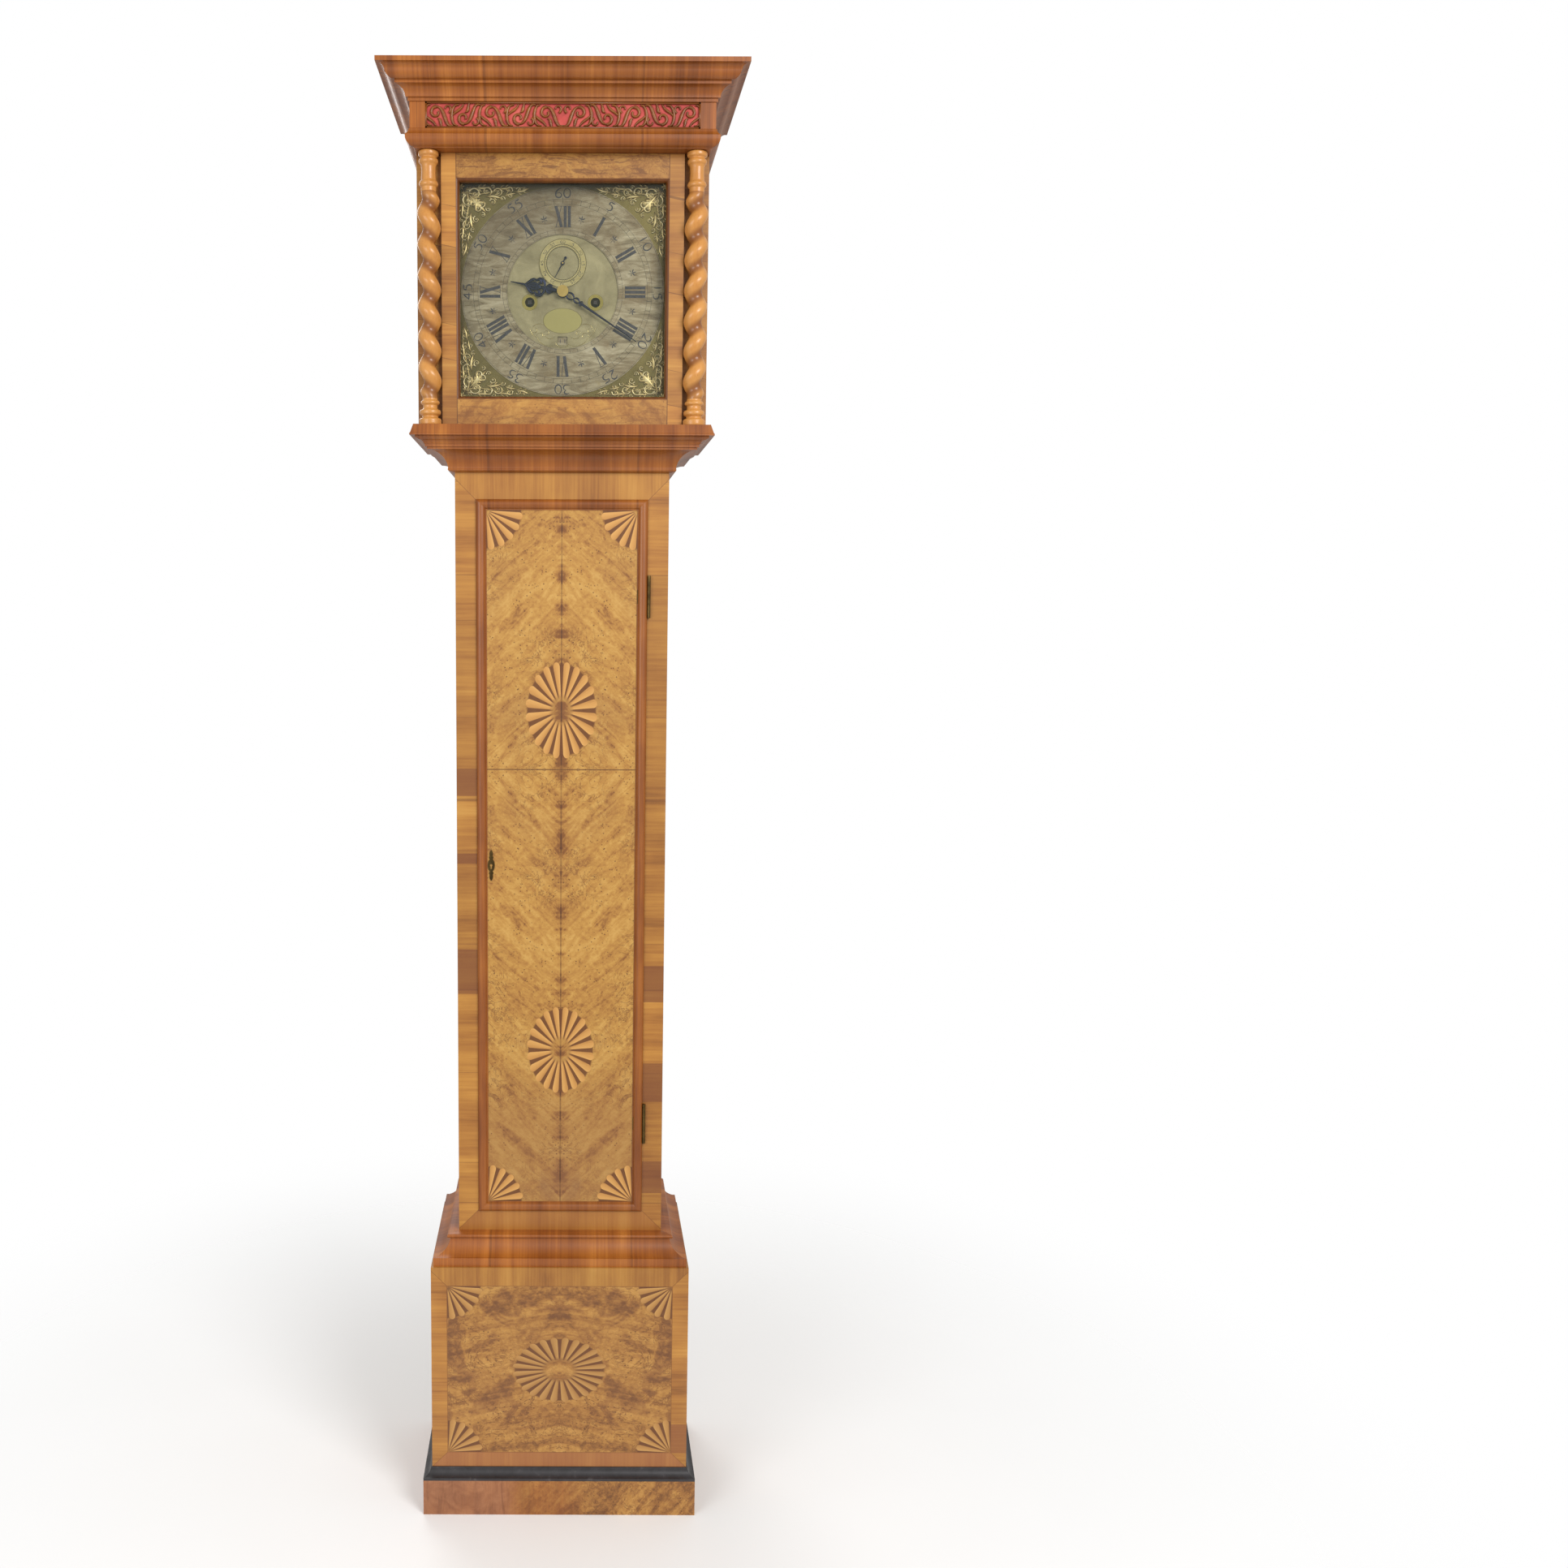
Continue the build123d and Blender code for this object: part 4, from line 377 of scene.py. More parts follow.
@dataclass(frozen=True)
class Fan:
    """An inlaid fan or oval of sand-shaded petals, sizes in metres."""

    x: float
    z: float
    half_x: float
    half_z: float
    petals: float
    eye: float = 0.20
    light: float = 1.0

    def lay(self, sheet: NodeSheet, x: Number, z: Number, ground: Socket) -> Socket:
        """Lays the fan over a ground colour.

        Within one petal's share of the turn the offset from its middle runs from -1 to 1. The pale
        petal covers offsets up to 0.66 and ends in half a circle at the rim; scorched brown fills
        the rest, and both fade out into the ground near the eye.

        Args:
            sheet: the material under construction.
            x: level coordinate, mirrored where the fan is repeated.
            z: upright coordinate, mirrored where the fan is repeated.
            ground: the colour underneath.
        """
        u = sheet.div(sheet.sub(x, self.x), self.half_x)
        v = sheet.div(sheet.sub(z, self.z), self.half_z)
        radius = sheet.distance(u, v)
        turn = sheet.add(sheet.div(sheet.math("ARCTAN2", v, u), 2 * math.pi), 1.0)
        share = sheet.math("FRACT", sheet.mul(turn, self.petals))
        middle = sheet.sub(sheet.mul(share, 2.0), 1.0)
        offset = sheet.div(middle, 0.66)
        bow = sheet.math("SQRT", sheet.math("MAXIMUM", sheet.sub(1.0, sheet.mul(offset, offset)), 0.0))
        petal = sheet.both(sheet.ease(sheet.size(offset), 1.02, 0.90),
                           sheet.ease(sheet.sub(radius, sheet.mul(bow, 0.12)), 0.890, 0.872))
        reach = sheet.ease(radius, self.eye, self.eye + 0.16)
        scorch = sheet.mul(sheet.ease(radius, 0.985, 0.93), reach)
        colour = sheet.mix(sheet.mul(scorch, 0.92), ground, tint(100, 56, 22))
        streak = sheet.noise(sheet.spot(sheet.mul(share, 4.0), sheet.mul(radius, 0.8), turn), 5.0, 2.0)
        tone = sheet.add(sheet.add(sheet.mul(middle, 0.42), 0.42), sheet.mul(sheet.sub(streak, 0.5), 0.4))
        pale = sheet.ramp(tone, tones((0.0, 216, 164, 92), (0.5, 196, 142, 74), (1.0, 142, 88, 38)))
        return sheet.mix(sheet.mul(petal, reach), colour, sheet.shade(pale, self.light))


@dataclass(frozen=True)
class DoorVeneer:
    """Quarter-matched burr of the trunk door with two oval fans and a quarter fan in each corner."""

    half_width: float = 0.1085
    low: float = 0.4715
    high: float = 1.4945
    joint: float = 1.124

    def make(self) -> bpy.types.Material:
        """Builds the finish."""
        s = NodeSheet("trunk_door_burr")
        across, up = s.size(s.x), s.size(s.sub(s.z, self.joint))
        broken = s.ease(s.noise(s.spot(0.0, 0.0, s.z), 26.0, 3.0, 0.7), 0.44, 0.62)
        near_joint = s.mul(s.ease(across, 0.016, 0.001), broken)
        colour = burr(s, across, up, near_joint, 0.3)
        shade = s.ease(s.noise(s.spot(across, 2.0, s.z), 6.0, 2.0, 0.5, 0.8), 0.48, 0.70)
        low = s.add(s.mul(shade, 0.25), s.mul(s.ease(s.z, 0.72, 0.58), s.add(s.mul(shade, 0.3), 0.36)))
        colour = s.mix(low, colour, tint(128, 84, 54))
        joint = s.add(s.mul(s.below(across, 0.0011), s.add(0.35, s.mul(broken, 0.6))),
                      s.mul(s.below(up, 0.0008), 0.75))
        colour = s.mix(s.math("MINIMUM", joint, 0.9), colour, tint(84, 48, 22))
        middle, half = (self.low + self.high) / 2, (self.high - self.low) / 2
        height = s.size(s.sub(s.z, middle))
        colour = Fan(self.half_width, half, 0.053, 0.056, 20.0, 0.05).lay(s, across, height, colour)
        for fan in (Fan(0.0, 1.210, 0.052, 0.070, 20.0), Fan(0.0, 0.705, 0.050, 0.066, 20.0)):
            colour = fan.lay(s, s.x, s.z, colour)
        return s.finish(colour, 0.40, bump=s.noise(s.place, 220.0, 3.0), depth=0.00006, coat=0.15)


@dataclass(frozen=True)
class PlinthVeneer:
    """Burr panel of the plinth in a mitred cross-banded border, with a central oval and corner fans."""

    half: float = 0.1915
    side: float = 0.024
    low: float = 0.093
    high: float = 0.355

    def make(self) -> bpy.types.Material:
        """Builds the finish."""
        s = NodeSheet("plinth_burr")
        across = s.size(s.x)
        middle, tall = (self.low + self.high) / 2, (self.high - self.low) / 2
        height = s.size(s.sub(s.z, middle))
        patch = s.ease(s.noise(s.spot(across, 4.0, s.z), 17.0, 3.0, 0.6, 1.2), 0.50, 0.64)
        colour = burr(s, s.mul(across, 0.75), s.add(s.z, 2.0), s.mul(patch, 0.4), 1.7, PLINTH_BURR, -0.3)
        colour = s.mix(s.mul(patch, 0.22), colour, tint(120, 74, 44))
        inner = self.half - self.side
        colour = Fan(inner, tall, 0.052, 0.052, 20.0, 0.05, 0.80).lay(s, across, height, colour)
        colour = Fan(0.0, 0.224, 0.070, 0.051, 24.0, 0.26, 0.74).lay(s, s.x, s.z, colour)
        over_x, over_z = s.sub(across, inner), s.sub(height, tall)
        border = s.above(s.math("MAXIMUM", over_x, over_z), 0.0)
        level = s.shade(s.ramp(grain(s, Grain.LEVEL), WALNUT), blocks(s, s.z, 0.09, 0.94, 1.06))
        upright = s.shade(s.ramp(grain(s, Grain.ACROSS), WALNUT), blocks(s, s.x, 0.08, 0.84, 0.98))
        upright = s.mix(s.mul(s.below(s.z, middle), 0.55), upright, tint(160, 98, 62))
        corner = s.both(s.above(s.x, 0.0), s.below(s.z, 0.138), s.above(s.z, 0.092))
        level = s.mix(s.mul(corner, 0.6), level, tint(124, 66, 40))
        band = s.mix(s.above(over_z, over_x), level, upright)
        seam = s.near(over_z, over_x, 0.0006)
        line = s.both(s.below(s.math("MAXIMUM", over_x, over_z), 0.0009), border)
        band = s.mix(s.mul(s.either(line, seam), 0.55), band, tint(104, 58, 24))
        colour = s.mix(border, colour, band)
        return s.finish(colour, 0.42, bump=s.noise(s.place, 220.0, 3.0), depth=0.00006, coat=0.15)


@dataclass(frozen=True)
class CrossBand:
    """Cross-banded veneer round the trunk door: level grain on the stiles, upright on the rails."""

    half_opening: float = 0.1155
    low: float = 0.464
    high: float = 1.502
    dark_cuts: tuple[tuple[float, float, float], ...] = (
        (1.0, 0.778, 0.833), (1.0, 0.626, 0.685), (1.0, 0.484, 0.534), (-1.0, 0.790, 0.857),
        (-1.0, 1.085, 1.125), (-1.0, 0.985, 1.000))

    def make(self) -> bpy.types.Material:
        """Builds the finish."""
        s = NodeSheet("trunk_cross_banding")
        across = s.sub(s.size(s.x), self.half_opening)
        height = s.math("MAXIMUM", s.sub(s.z, self.high), s.sub(self.low, s.z))
        rail = s.above(height, across)
        level = s.shade(s.ramp(grain(s, Grain.LEVEL), WALNUT), blocks(s, s.z, 0.11, 0.86, 1.08))
        level = s.mix(s.mul(block_joint(s, s.z, 0.11), 0.5), level, tint(110, 64, 28))
        for side, bottom, top in self.dark_cuts:
            here = s.both(s.above(s.z, bottom), s.below(s.z, top), s.above(s.mul(s.x, side), 0.0))
            level = s.mix(s.mul(here, 0.68), level, tint(116, 64, 34))
        upright = s.shade(s.ramp(grain(s, Grain.ACROSS), WALNUT), blocks(s, s.x, 0.07, 0.94, 1.05))
        upright = s.mix(s.mul(s.below(s.z, 1.0), 0.4), upright, tint(150, 88, 38))
        colour = s.mix(rail, level, upright)
        seam = s.near(height, across, 0.0007)
        colour = s.mix(s.mul(seam, 0.5), colour, tint(104, 58, 24))
        return s.finish(colour, 0.42, bump=grain(s, Grain.LEVEL, 1.6), depth=0.00006, coat=0.15)


@dataclass(frozen=True)
class Veneer:
    """Plain walnut veneer or moulding stock."""

    name: str
    way: Grain
    stops: tuple
    cut: float = 0.12
    low: float = 0.85
    high: float = 1.05
    rough: float = 0.34

    def make(self) -> bpy.types.Material:
        """Builds the finish."""
        s = NodeSheet(self.name)
        along = s.z if self.way is Grain.LEVEL else along_moulding(s)
        value = grain(s, self.way)
        colour = s.shade(s.ramp(value, self.stops), blocks(s, along, self.cut, self.low, self.high))
        colour = s.mix(s.mul(block_joint(s, along, self.cut), 0.4), colour, tint(84, 42, 16))
        return s.finish(colour, self.rough, bump=value, depth=0.00002, coat=0.05)


@dataclass(frozen=True)
class HoodDoorVeneer:
    """Hood door: cross-banded stiles of full height, and rails of long streaked figure between them."""

    half_glass: float = GLASS_HALF
    seed: float = 2.2
    dark: float = 0.3

    def make(self) -> bpy.types.Material:
        """Builds the finish."""
        s = NodeSheet("hood_door_walnut")
        colour = burr(s, s.size(s.x), s.z, self.dark, self.seed)
        edge = s.ramp(grain(s, Grain.LEVEL, 1.3), WALNUT)
        colour = s.mix(0.4, colour, edge)
        ripple = s.add(s.z, s.mul(s.math("SINE", s.mul(s.x, 38.0)), 0.004))
        streak = s.ease(s.noise(s.spot(s.mul(s.x, 16.0), 0.0, s.mul(ripple, 110.0)), 1.0, 6.0, 0.68, 1.6),
                        0.50, 0.62)
        top = s.ease(s.z, 1.93, 1.95)
        colour = s.mix(s.mul(streak, s.add(0.42, s.mul(top, 0.3))), colour, tint(112, 66, 28))
        colour = s.shade(colour, s.sub(1.0, s.mul(top, 0.12)))
        band = s.shade(s.ramp(grain(s, Grain.LEVEL), WALNUT),
                       blocks(s, s.add(s.z, s.mul(s.x, 0.2)), 0.075, 0.86, 1.12))
        band = s.mix(s.mul(block_joint(s, s.add(s.z, s.mul(s.x, 0.2)), 0.075), 0.6), band, tint(96, 56, 24))
        beside = s.sub(s.size(s.x), self.half_glass)
        colour = s.mix(s.above(beside, 0.0), colour, band)
        colour = s.mix(s.mul(s.below(s.size(beside), 0.0006), 0.7), colour, tint(84, 46, 18))
        return s.finish(colour, 0.42, bump=s.noise(s.place, 200.0, 3.0), depth=0.00006, coat=0.15)


@dataclass(frozen=True)
class Skirting:
    """Skirting veneer: pinkish and streaked at the left, mixed in the middle, mottled at the right."""

    def make(self) -> bpy.types.Material:
        """Builds the finish."""
        s = NodeSheet("skirting_veneer")
        mottled = burr(s, s.x, s.z, 0.25, 5.1, PLINTH_BURR, 1.2)
        straight = s.ramp(grain(s, Grain.ACROSS), MOULDING)
        cloud = s.ramp(s.noise(s.place, 40.0, 5.0, 0.65, 1.0), tones((0.3, 132, 84, 56), (0.7, 176, 122, 84)))
        pink = s.mix(0.7, straight, cloud)
        streak = s.ease(s.noise(s.spot(s.mul(s.x, 60.0), 3.0, s.mul(s.z, 9.0)), 1.0, 5.0, 0.66, 1.5),
                        0.50, 0.64)
        pink = s.mix(s.mul(streak, 0.5), pink, tint(116, 68, 38))
        colour = s.mix(s.ease(s.x, -0.09, -0.05), pink, s.mix(0.5, straight, mottled))
        colour = s.mix(s.ease(s.x, 0.00, 0.05), colour, mottled)
        return s.finish(colour, 0.46, bump=grain(s, Grain.ACROSS), depth=0.00006, coat=0.12)


@dataclass(frozen=True)
class Turned:
    """Pale walnut of the twist columns, with grain along the column and painted shade darkening its hollows.
    """

    x: float = COLUMN_X
    y: float = COLUMN_Y
    deep: float = 0.0084
    proud: float = 0.0135
    low: float = 1.6445
    high: float = 1.9200

    def make(self) -> bpy.types.Material:
        """Builds the finish: the colour darkens with the nearness to the column's axis, as painted shade in
        the twist's hollows.
        """
        s = NodeSheet("turned_walnut")
        u, v = s.sub(s.size(s.x), self.x), s.sub(s.y, self.y)
        radius = s.distance(u, v)
        # painted shade mask: 1 in the twist's hollows, close to the axis, within the twisted length
        hollow = s.both(s.ease(radius, self.proud, self.deep), s.above(s.z, self.low),
                        s.below(s.z, self.high))
        value = grain(s, Grain.UPRIGHT)
        colour = s.ramp(s.add(s.mul(value, 0.6), 0.2), COLUMN)
        speck = s.ease(s.cells(s.spot(s.mul(s.x, 3.0), s.mul(s.y, 3.0), s.mul(s.z, 0.6)), 90.0), 0.22, 0.08)
        colour = s.mix(s.mul(speck, 0.2), colour, tint(130, 78, 40))
        # painted shade: the hollows are darkened to a deep brown
        colour = s.mix(s.mul(hollow, 0.85), colour, tint(120, 66, 26))
        return s.finish(colour, 0.34, bump=value, depth=0.00006, coat=0.15)


@dataclass(frozen=True)
class Oak:
    """Dry secondary timber of the backboard and seatboard."""

    def make(self) -> bpy.types.Material:
        """Builds the finish."""
        s = NodeSheet("plain_oak")
        value = grain(s, Grain.UPRIGHT, 0.8)
        colour = s.ramp(value, tones((0.0, 104, 76, 46), (0.5, 146, 112, 70), (1.0, 170, 136, 92)))
        return s.finish(colour, 0.66, bump=value, depth=0.0003)


@dataclass(frozen=True)
class Ebonised:
    """Wood stained black, worn a little grey."""

    def make(self) -> bpy.types.Material:
        """Builds the finish."""
        s = NodeSheet("ebonised_wood")
        worn = s.noise(s.place, 60.0, 5.0, 0.6, 0.4)
        colour = s.ramp(worn, tones((0.3, 30, 27, 29), (0.62, 46, 43, 46), (0.8, 82, 78, 78)))
        return s.finish(colour, 0.42, bump=grain(s, Grain.ACROSS), depth=0.0001, coat=0.2)


@dataclass(frozen=True)
class Metal:
    """Brass, bell metal, steel or iron with patina clouds and fine scratches."""

    name: str
    base: tuple
    old: tuple
    rough: float = 0.32
    wear: float = 0.5

    def make(self) -> bpy.types.Material:
        """Builds the finish."""
        s = NodeSheet(self.name)
        cloud = s.noise(s.place, 24.0, 6.0, 0.62, 0.8)
        share = s.mul(s.ease(cloud, 0.36, 0.72), self.wear)
        colour = s.mix(share, self.base, self.old)
        rough = s.add(s.mul(cloud, 0.22), self.rough - 0.1)
        return s.finish(colour, rough, metal=1.0, bump=s.noise(s.place, 300.0, 2.0), depth=0.00004)


@dataclass(frozen=True)
class BarrelMetal:
    """A brass barrel whose arbor and winding square, in front of the front plate, are steel."""

    front: float = -0.0125

    def make(self) -> bpy.types.Material:
        """Builds the finish."""
        s = NodeSheet("brass_barrel_steel_arbor")
        cloud = s.noise(s.place, 30.0, 5.0, 0.6, 0.6)
        brass = s.mix(s.mul(cloud, 0.6), tint(196, 170, 96), tint(132, 108, 56))
        steel = s.mix(s.mul(cloud, 0.6), tint(74, 70, 66), tint(40, 36, 34))
        colour = s.mix(s.below(s.y, self.front), brass, steel)
        groove = s.math("SINE", s.mul(s.y, 3900.0))
        return s.finish(colour, s.add(s.mul(cloud, 0.2), 0.26), metal=1.0, bump=groove, depth=0.00005)


@dataclass(frozen=True)
class Casting:
    """Cast and gilded brass, with painted shade in its hollows and a painted highlight on its ridges."""

    face: float = DIAL_FACE
    rise: float = 0.0024

    def make(self) -> bpy.types.Material:
        """Builds the finish: the colour climbs with the distance from the dial plate, from painted shade near
        the plate to a painted highlight on top.
        """
        s = NodeSheet("cast_gilt_brass")
        height = s.div(s.sub(self.face, s.y), self.rise)
        cloud = s.noise(s.place, 160.0, 4.0, 0.6)
        tone = s.add(height, s.mul(s.sub(cloud, 0.5), 0.5))
        # painted shade near the plate, painted highlight on the highest ridges
        colour = s.ramp(tone,
                        tones((0.10, 62, 54, 24), (0.40, 138, 116, 66), (0.70, 200, 182, 124),
                              (1.0, 232, 222, 176)))
        return s.finish(colour, 0.42, metal=0.85, bump=cloud, depth=0.0001)


@dataclass(frozen=True)
class DialBrass:
    """Dial plate: polished margin, matted centre, a bare oval plaque and rings round the winding holes."""

    centre: float = DIAL_CENTRE
    matted: float = 0.0775
    plaque: tuple[float, float, float] = (-0.039, 0.027, 0.017)
    winding: tuple[float, float] = (0.046, -0.014)

    def make(self) -> bpy.types.Material:
        """Builds the finish."""
        s = NodeSheet("dial_brass")
        z = s.sub(s.z, self.centre)
        radius = s.distance(s.x, z)
        drop, wide, tall = self.plaque
        u, v = s.div(s.x, wide), s.div(s.sub(z, drop), tall)
        oval = s.distance(u, v)
        plate = s.below(oval, 1.0)
        hole_x, hole_z = s.sub(s.size(s.x), self.winding[0]), s.sub(z, self.winding[1])
        hole = s.distance(hole_x, hole_z)
        boss = s.below(hole, 0.011)
        matted = s.both(s.below(radius, self.matted), s.sub(1.0, plate), s.sub(1.0, boss))
        cloud = s.noise(s.place, 26.0, 6.0, 0.65, 0.6)
        smooth = s.ramp(cloud, tones((0.25, 150, 138, 70), (0.5, 176, 162, 86), (0.8, 196, 182, 104)))
        dull = s.ramp(cloud, tones((0.25, 112, 104, 76), (0.55, 146, 138, 104), (0.8, 168, 160, 122)))
        colour = s.mix(matted, smooth, dull)
        # painted shade: outside the chapter ring, round and under the spandrels, the plate is darkened to a
        # brown
        colour = s.mix(s.mul(s.above(radius, 0.12), 0.75), colour,
                       s.mix(cloud, tint(70, 58, 34), tint(128, 114, 74)))
        colour = s.mix(s.mul(plate, 0.8), colour, tint(184, 176, 116))
        ring = s.either(s.near(hole, 0.0108, 0.0003), s.near(hole, 0.0088, 0.00025),
                        s.near(oval, 1.0, 0.018))
        colour = s.mix(s.mul(ring, 0.6), colour, tint(88, 80, 44))
        grit = s.mul(s.noise(s.place, 1500.0, 2.0), matted)
        bump = s.add(grit, s.mul(s.sub(1.0, matted), s.noise(s.place, 260.0, 3.0)))
        rough = s.add(s.mul(matted, 0.22), 0.30)
        return s.finish(colour, rough, metal=1.0, bump=bump, depth=0.00006)


@dataclass(frozen=True)
class SilveredRing:
    """A silvered ring with engraved circles, minute strokes and quarter-hour strokes, in metres.

    A stroke shows where the angle, counted in divisions, is close to a whole number; its half-width
    in divisions is its width over the arc that one division spans.
    """

    name: str
    x: float
    z: float
    circles: tuple[float, ...]
    scales: tuple[tuple[float, float, float, float], ...]
    worn: float = 0.0
    line: float = 0.00018

    def make(self) -> bpy.types.Material:
        """Builds the finish; scales are (inner radius, outer radius, divisions, stroke width)."""
        s = NodeSheet(self.name)
        x, z = s.sub(s.x, self.x), s.sub(s.z, self.z)
        radius = s.distance(x, z)
        turn = s.div(s.math("ARCTAN2", x, z), 2 * math.pi)
        wipe = s.noise(s.spot(s.mul(s.x, 2.2), s.y, s.mul(s.z, 9.0)), 12.0, 6.0, 0.66, 1.2)
        colour = s.ramp(wipe,
                        tones((0.28, 92, 79, 56), (0.45, 131, 119, 90), (0.6, 158, 148, 118),
                              (0.8, 180, 172, 146)))
        stain = s.ease(s.noise(s.place, 13.0, 5.0, 0.7, 1.4), 0.46, 0.68)
        colour = s.mix(s.mul(stain, 0.55), colour, tint(112, 92, 60))
        # painted shade: each ring is darker towards its upper left, lighter to the lower right
        high = s.mul(s.ease(z, -0.02, 0.12), s.ease(x, 0.09, -0.03))
        colour = s.mix(s.mul(high, 0.5), colour, tint(92, 76, 54))
        rub = s.ease(s.noise(s.place, 38.0, 4.0, 0.7, 0.5), 0.60, 0.74)
        colour = s.mix(s.mul(rub, 0.45), colour, tint(140, 122, 70))
        colour = s.mix(self.worn, colour, s.shade(tint(176, 164, 104), s.add(s.mul(wipe, 0.4), 0.75)))
        cut = s.near(radius, self.circles[0], self.line)
        for circle in self.circles[1:]:
            cut = s.either(cut, s.near(radius, circle, self.line))
        for inner, outer, count, width in self.scales:
            part = s.math("FRACT", s.add(s.mul(s.add(turn, 1.0), count), 0.5))
            reach = width / 2 / (2 * math.pi * (inner + outer) / 2 / count)
            stroke = s.near(part, 0.5, reach)
            cut = s.either(cut, s.both(stroke, s.above(radius, inner), s.below(radius, outer)))
        colour = s.mix(s.mul(cut, 0.88), colour, tint(26, 24, 26))
        fine = s.noise(s.spot(s.mul(radius, 1200.0), 0.0, 0.0), 1.0, 2.0)
        return s.finish(colour, s.add(s.mul(wipe, 0.25), 0.28), metal=0.55, bump=fine, depth=0.00001)


@dataclass(frozen=True)
class Silk:
    """Red woven silk behind the fret, with faded and shaded patches."""

    def make(self) -> bpy.types.Material:
        """Builds the finish."""
        s = NodeSheet("red_silk")
        fade = s.noise(s.place, 40.0, 3.0, 0.6, 0.5)
        colour = s.ramp(fade, tones((0.3, 150, 40, 36), (0.5, 188, 62, 54), (0.75, 212, 96, 84)))
        warp = s.math("SINE", s.mul(s.x, 9000.0))
        weft = s.math("SINE", s.mul(s.z, 9000.0))
        weave = s.mul(s.add(warp, weft), 0.25)
        s.shader.inputs["Sheen Weight"].default_value = 0.4
        return s.finish(colour, 0.55, bump=weave, depth=0.00006)


@dataclass(frozen=True)
class Gut:
    """Twisted gut line, amber brown."""

    def make(self) -> bpy.types.Material:
        """Builds the finish."""
        s = NodeSheet("twisted_gut")
        twist = s.math("SINE", s.add(s.mul(s.z, 2600.0), s.mul(s.x, 4000.0)))
        colour = s.ramp(s.add(s.mul(twist, 0.5), 0.5), tones((0.0, 116, 80, 36), (1.0, 190, 150, 90)))
        return s.finish(colour, 0.5, bump=twist, depth=0.0002)


@dataclass(frozen=True)
class Wax:
    """Black wax in the engraved numerals."""

    def make(self) -> bpy.types.Material:
        """Builds the finish."""
        s = NodeSheet("black_wax")
        worn = s.noise(s.place, 260.0, 3.0)
        colour = s.ramp(worn, tones((0.35, 24, 23, 28), (0.7, 52, 48, 50)))
        return s.finish(colour, 0.5, bump=worn, depth=0.00005)


@dataclass(frozen=True)
class WindowGlass:
    """Thin old window glass, almost clear."""

    def make(self) -> bpy.types.Material:
        """Builds the finish."""
        s = NodeSheet("window_glass")
        wave = s.noise(s.place, 7.0, 2.0)
        s.shader.inputs["Alpha"].default_value = 0.05
        s.material.surface_render_method = "BLENDED"
        return s.finish(tint(150, 160, 150), 0.05, bump=wave, depth=0.0004)


# Surfaces


def grid_faces(rows: int, columns: int, wrap: bool = True) -> np.ndarray:
    """Quads of a rows by columns grid of vertices, closed round the columns if wrap is set."""
    row = np.arange(rows - 1)[:, None]
    column = np.arange(columns if wrap else columns - 1)[None, :]
    after = (column + 1) % columns
    corners = (row * columns + column, row * columns + after, (row + 1) * columns + after,
               (row + 1) * columns + column)
    return np.stack([np.broadcast_to(c, (rows - 1, column.shape[1])) for c in corners],
                    axis=-1).reshape(-1, 4)


class Piece:
    """Collects surfaces and turns them into one named object."""

    def __init__(self, name: str) -> None:
        """Starts an empty piece."""
        self.name = name
        self.points: list[np.ndarray] = []
        self.quads: list[np.ndarray] = []
        self.caps: list[list[int]] = []
        self.count = 0

    def grid(self, points: np.ndarray, wrap: bool = True, caps: bool = True, flip: bool = False) -> None:
        """Adds a grid of points, rows by columns by three, as quads.

        Args:
            points: the grid.
            wrap: True if each row closes on itself.
            caps: True to close the first and last rows with one face each.
            flip: True to turn the faces over.
        """
        rows, columns = points.shape[:2]
        quads = grid_faces(rows, columns, wrap) + self.count
        self.quads.append(quads[:, ::-1] if flip else quads)
        if wrap and caps:
            first = list(range(self.count, self.count + columns))
            last = list(range(self.count + (rows - 1) * columns, self.count + rows * columns))
            self.caps += [first, last[::-1]] if flip else [first[::-1], last]
        self.points.append(points.reshape(-1, 3))
        self.count += rows * columns

    def block(self, low: Sequence[float], high: Sequence[float]) -> None:
        """Adds a closed box between two corners."""
        a, b = np.array(low, float), np.array(high, float)
        square = np.array([[0, 0], [1, 0], [1, 1], [0, 1]], float)
        levels = [np.column_stack([square, np.full(4, z)]) for z in (0.0, 1.0)]
        self.grid(a + np.stack(levels) * (b - a))

    def make(self, body: str, slot: str, finish: bpy.types.Material, replaces: Sequence[str] = (),
             smooth: bool = True) -> bpy.types.Object:
        """Builds the object, puts it on its body and gives it its finish.

        Args:
            body: the CAD body it rides on.
            slot: the record's material slot; not used.
            finish: the material.
            replaces: CAD nodes that it stands for.
            smooth: True for smooth shading.
        """
        mesh = bpy.data.meshes.new(self.name)
        faces = np.concatenate(self.quads).tolist() + self.caps
        mesh.from_pydata(np.concatenate(self.points).tolist(), [], faces)
        mesh.polygons.foreach_set("use_smooth", [smooth and len(f) <= 4 for f in faces])
        mesh.validate()
        mesh.materials.append(finish)
        piece = bpy.data.objects.new(self.name, mesh)
        bpy.context.scene.collection.objects.link(piece)
        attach(piece, body)
        if replaces:
            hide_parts(*replaces)
        log.info("%s: %d faces on %s", self.name, len(faces), body)
        return piece


@dataclass(frozen=True)
class Relief:
    """A place on an upright face that raised strokes are laid on, facing -Y."""

    x: float
    y: float
    z: float
    turn: float = 0.0
    mirror_x: bool = False
    mirror_z: bool = False

    def set_down(self, u: np.ndarray, v: np.ndarray, rise: np.ndarray) -> np.ndarray:
        """Points at u to the right, v up and rise out of the face, turned clockwise by turn degrees."""
        angle = math.radians(-self.turn)
        u = -u if self.mirror_x else u
        v = -v if self.mirror_z else v
        across = u * math.cos(angle) - v * math.sin(angle)
        up = u * math.sin(angle) + v * math.cos(angle)
        return np.stack([self.x + across, self.y - rise, self.z + up], axis=-1)

    @property
    def flips(self) -> bool:
        """True if a single mirror turns faces over."""
        return self.mirror_x != self.mirror_z


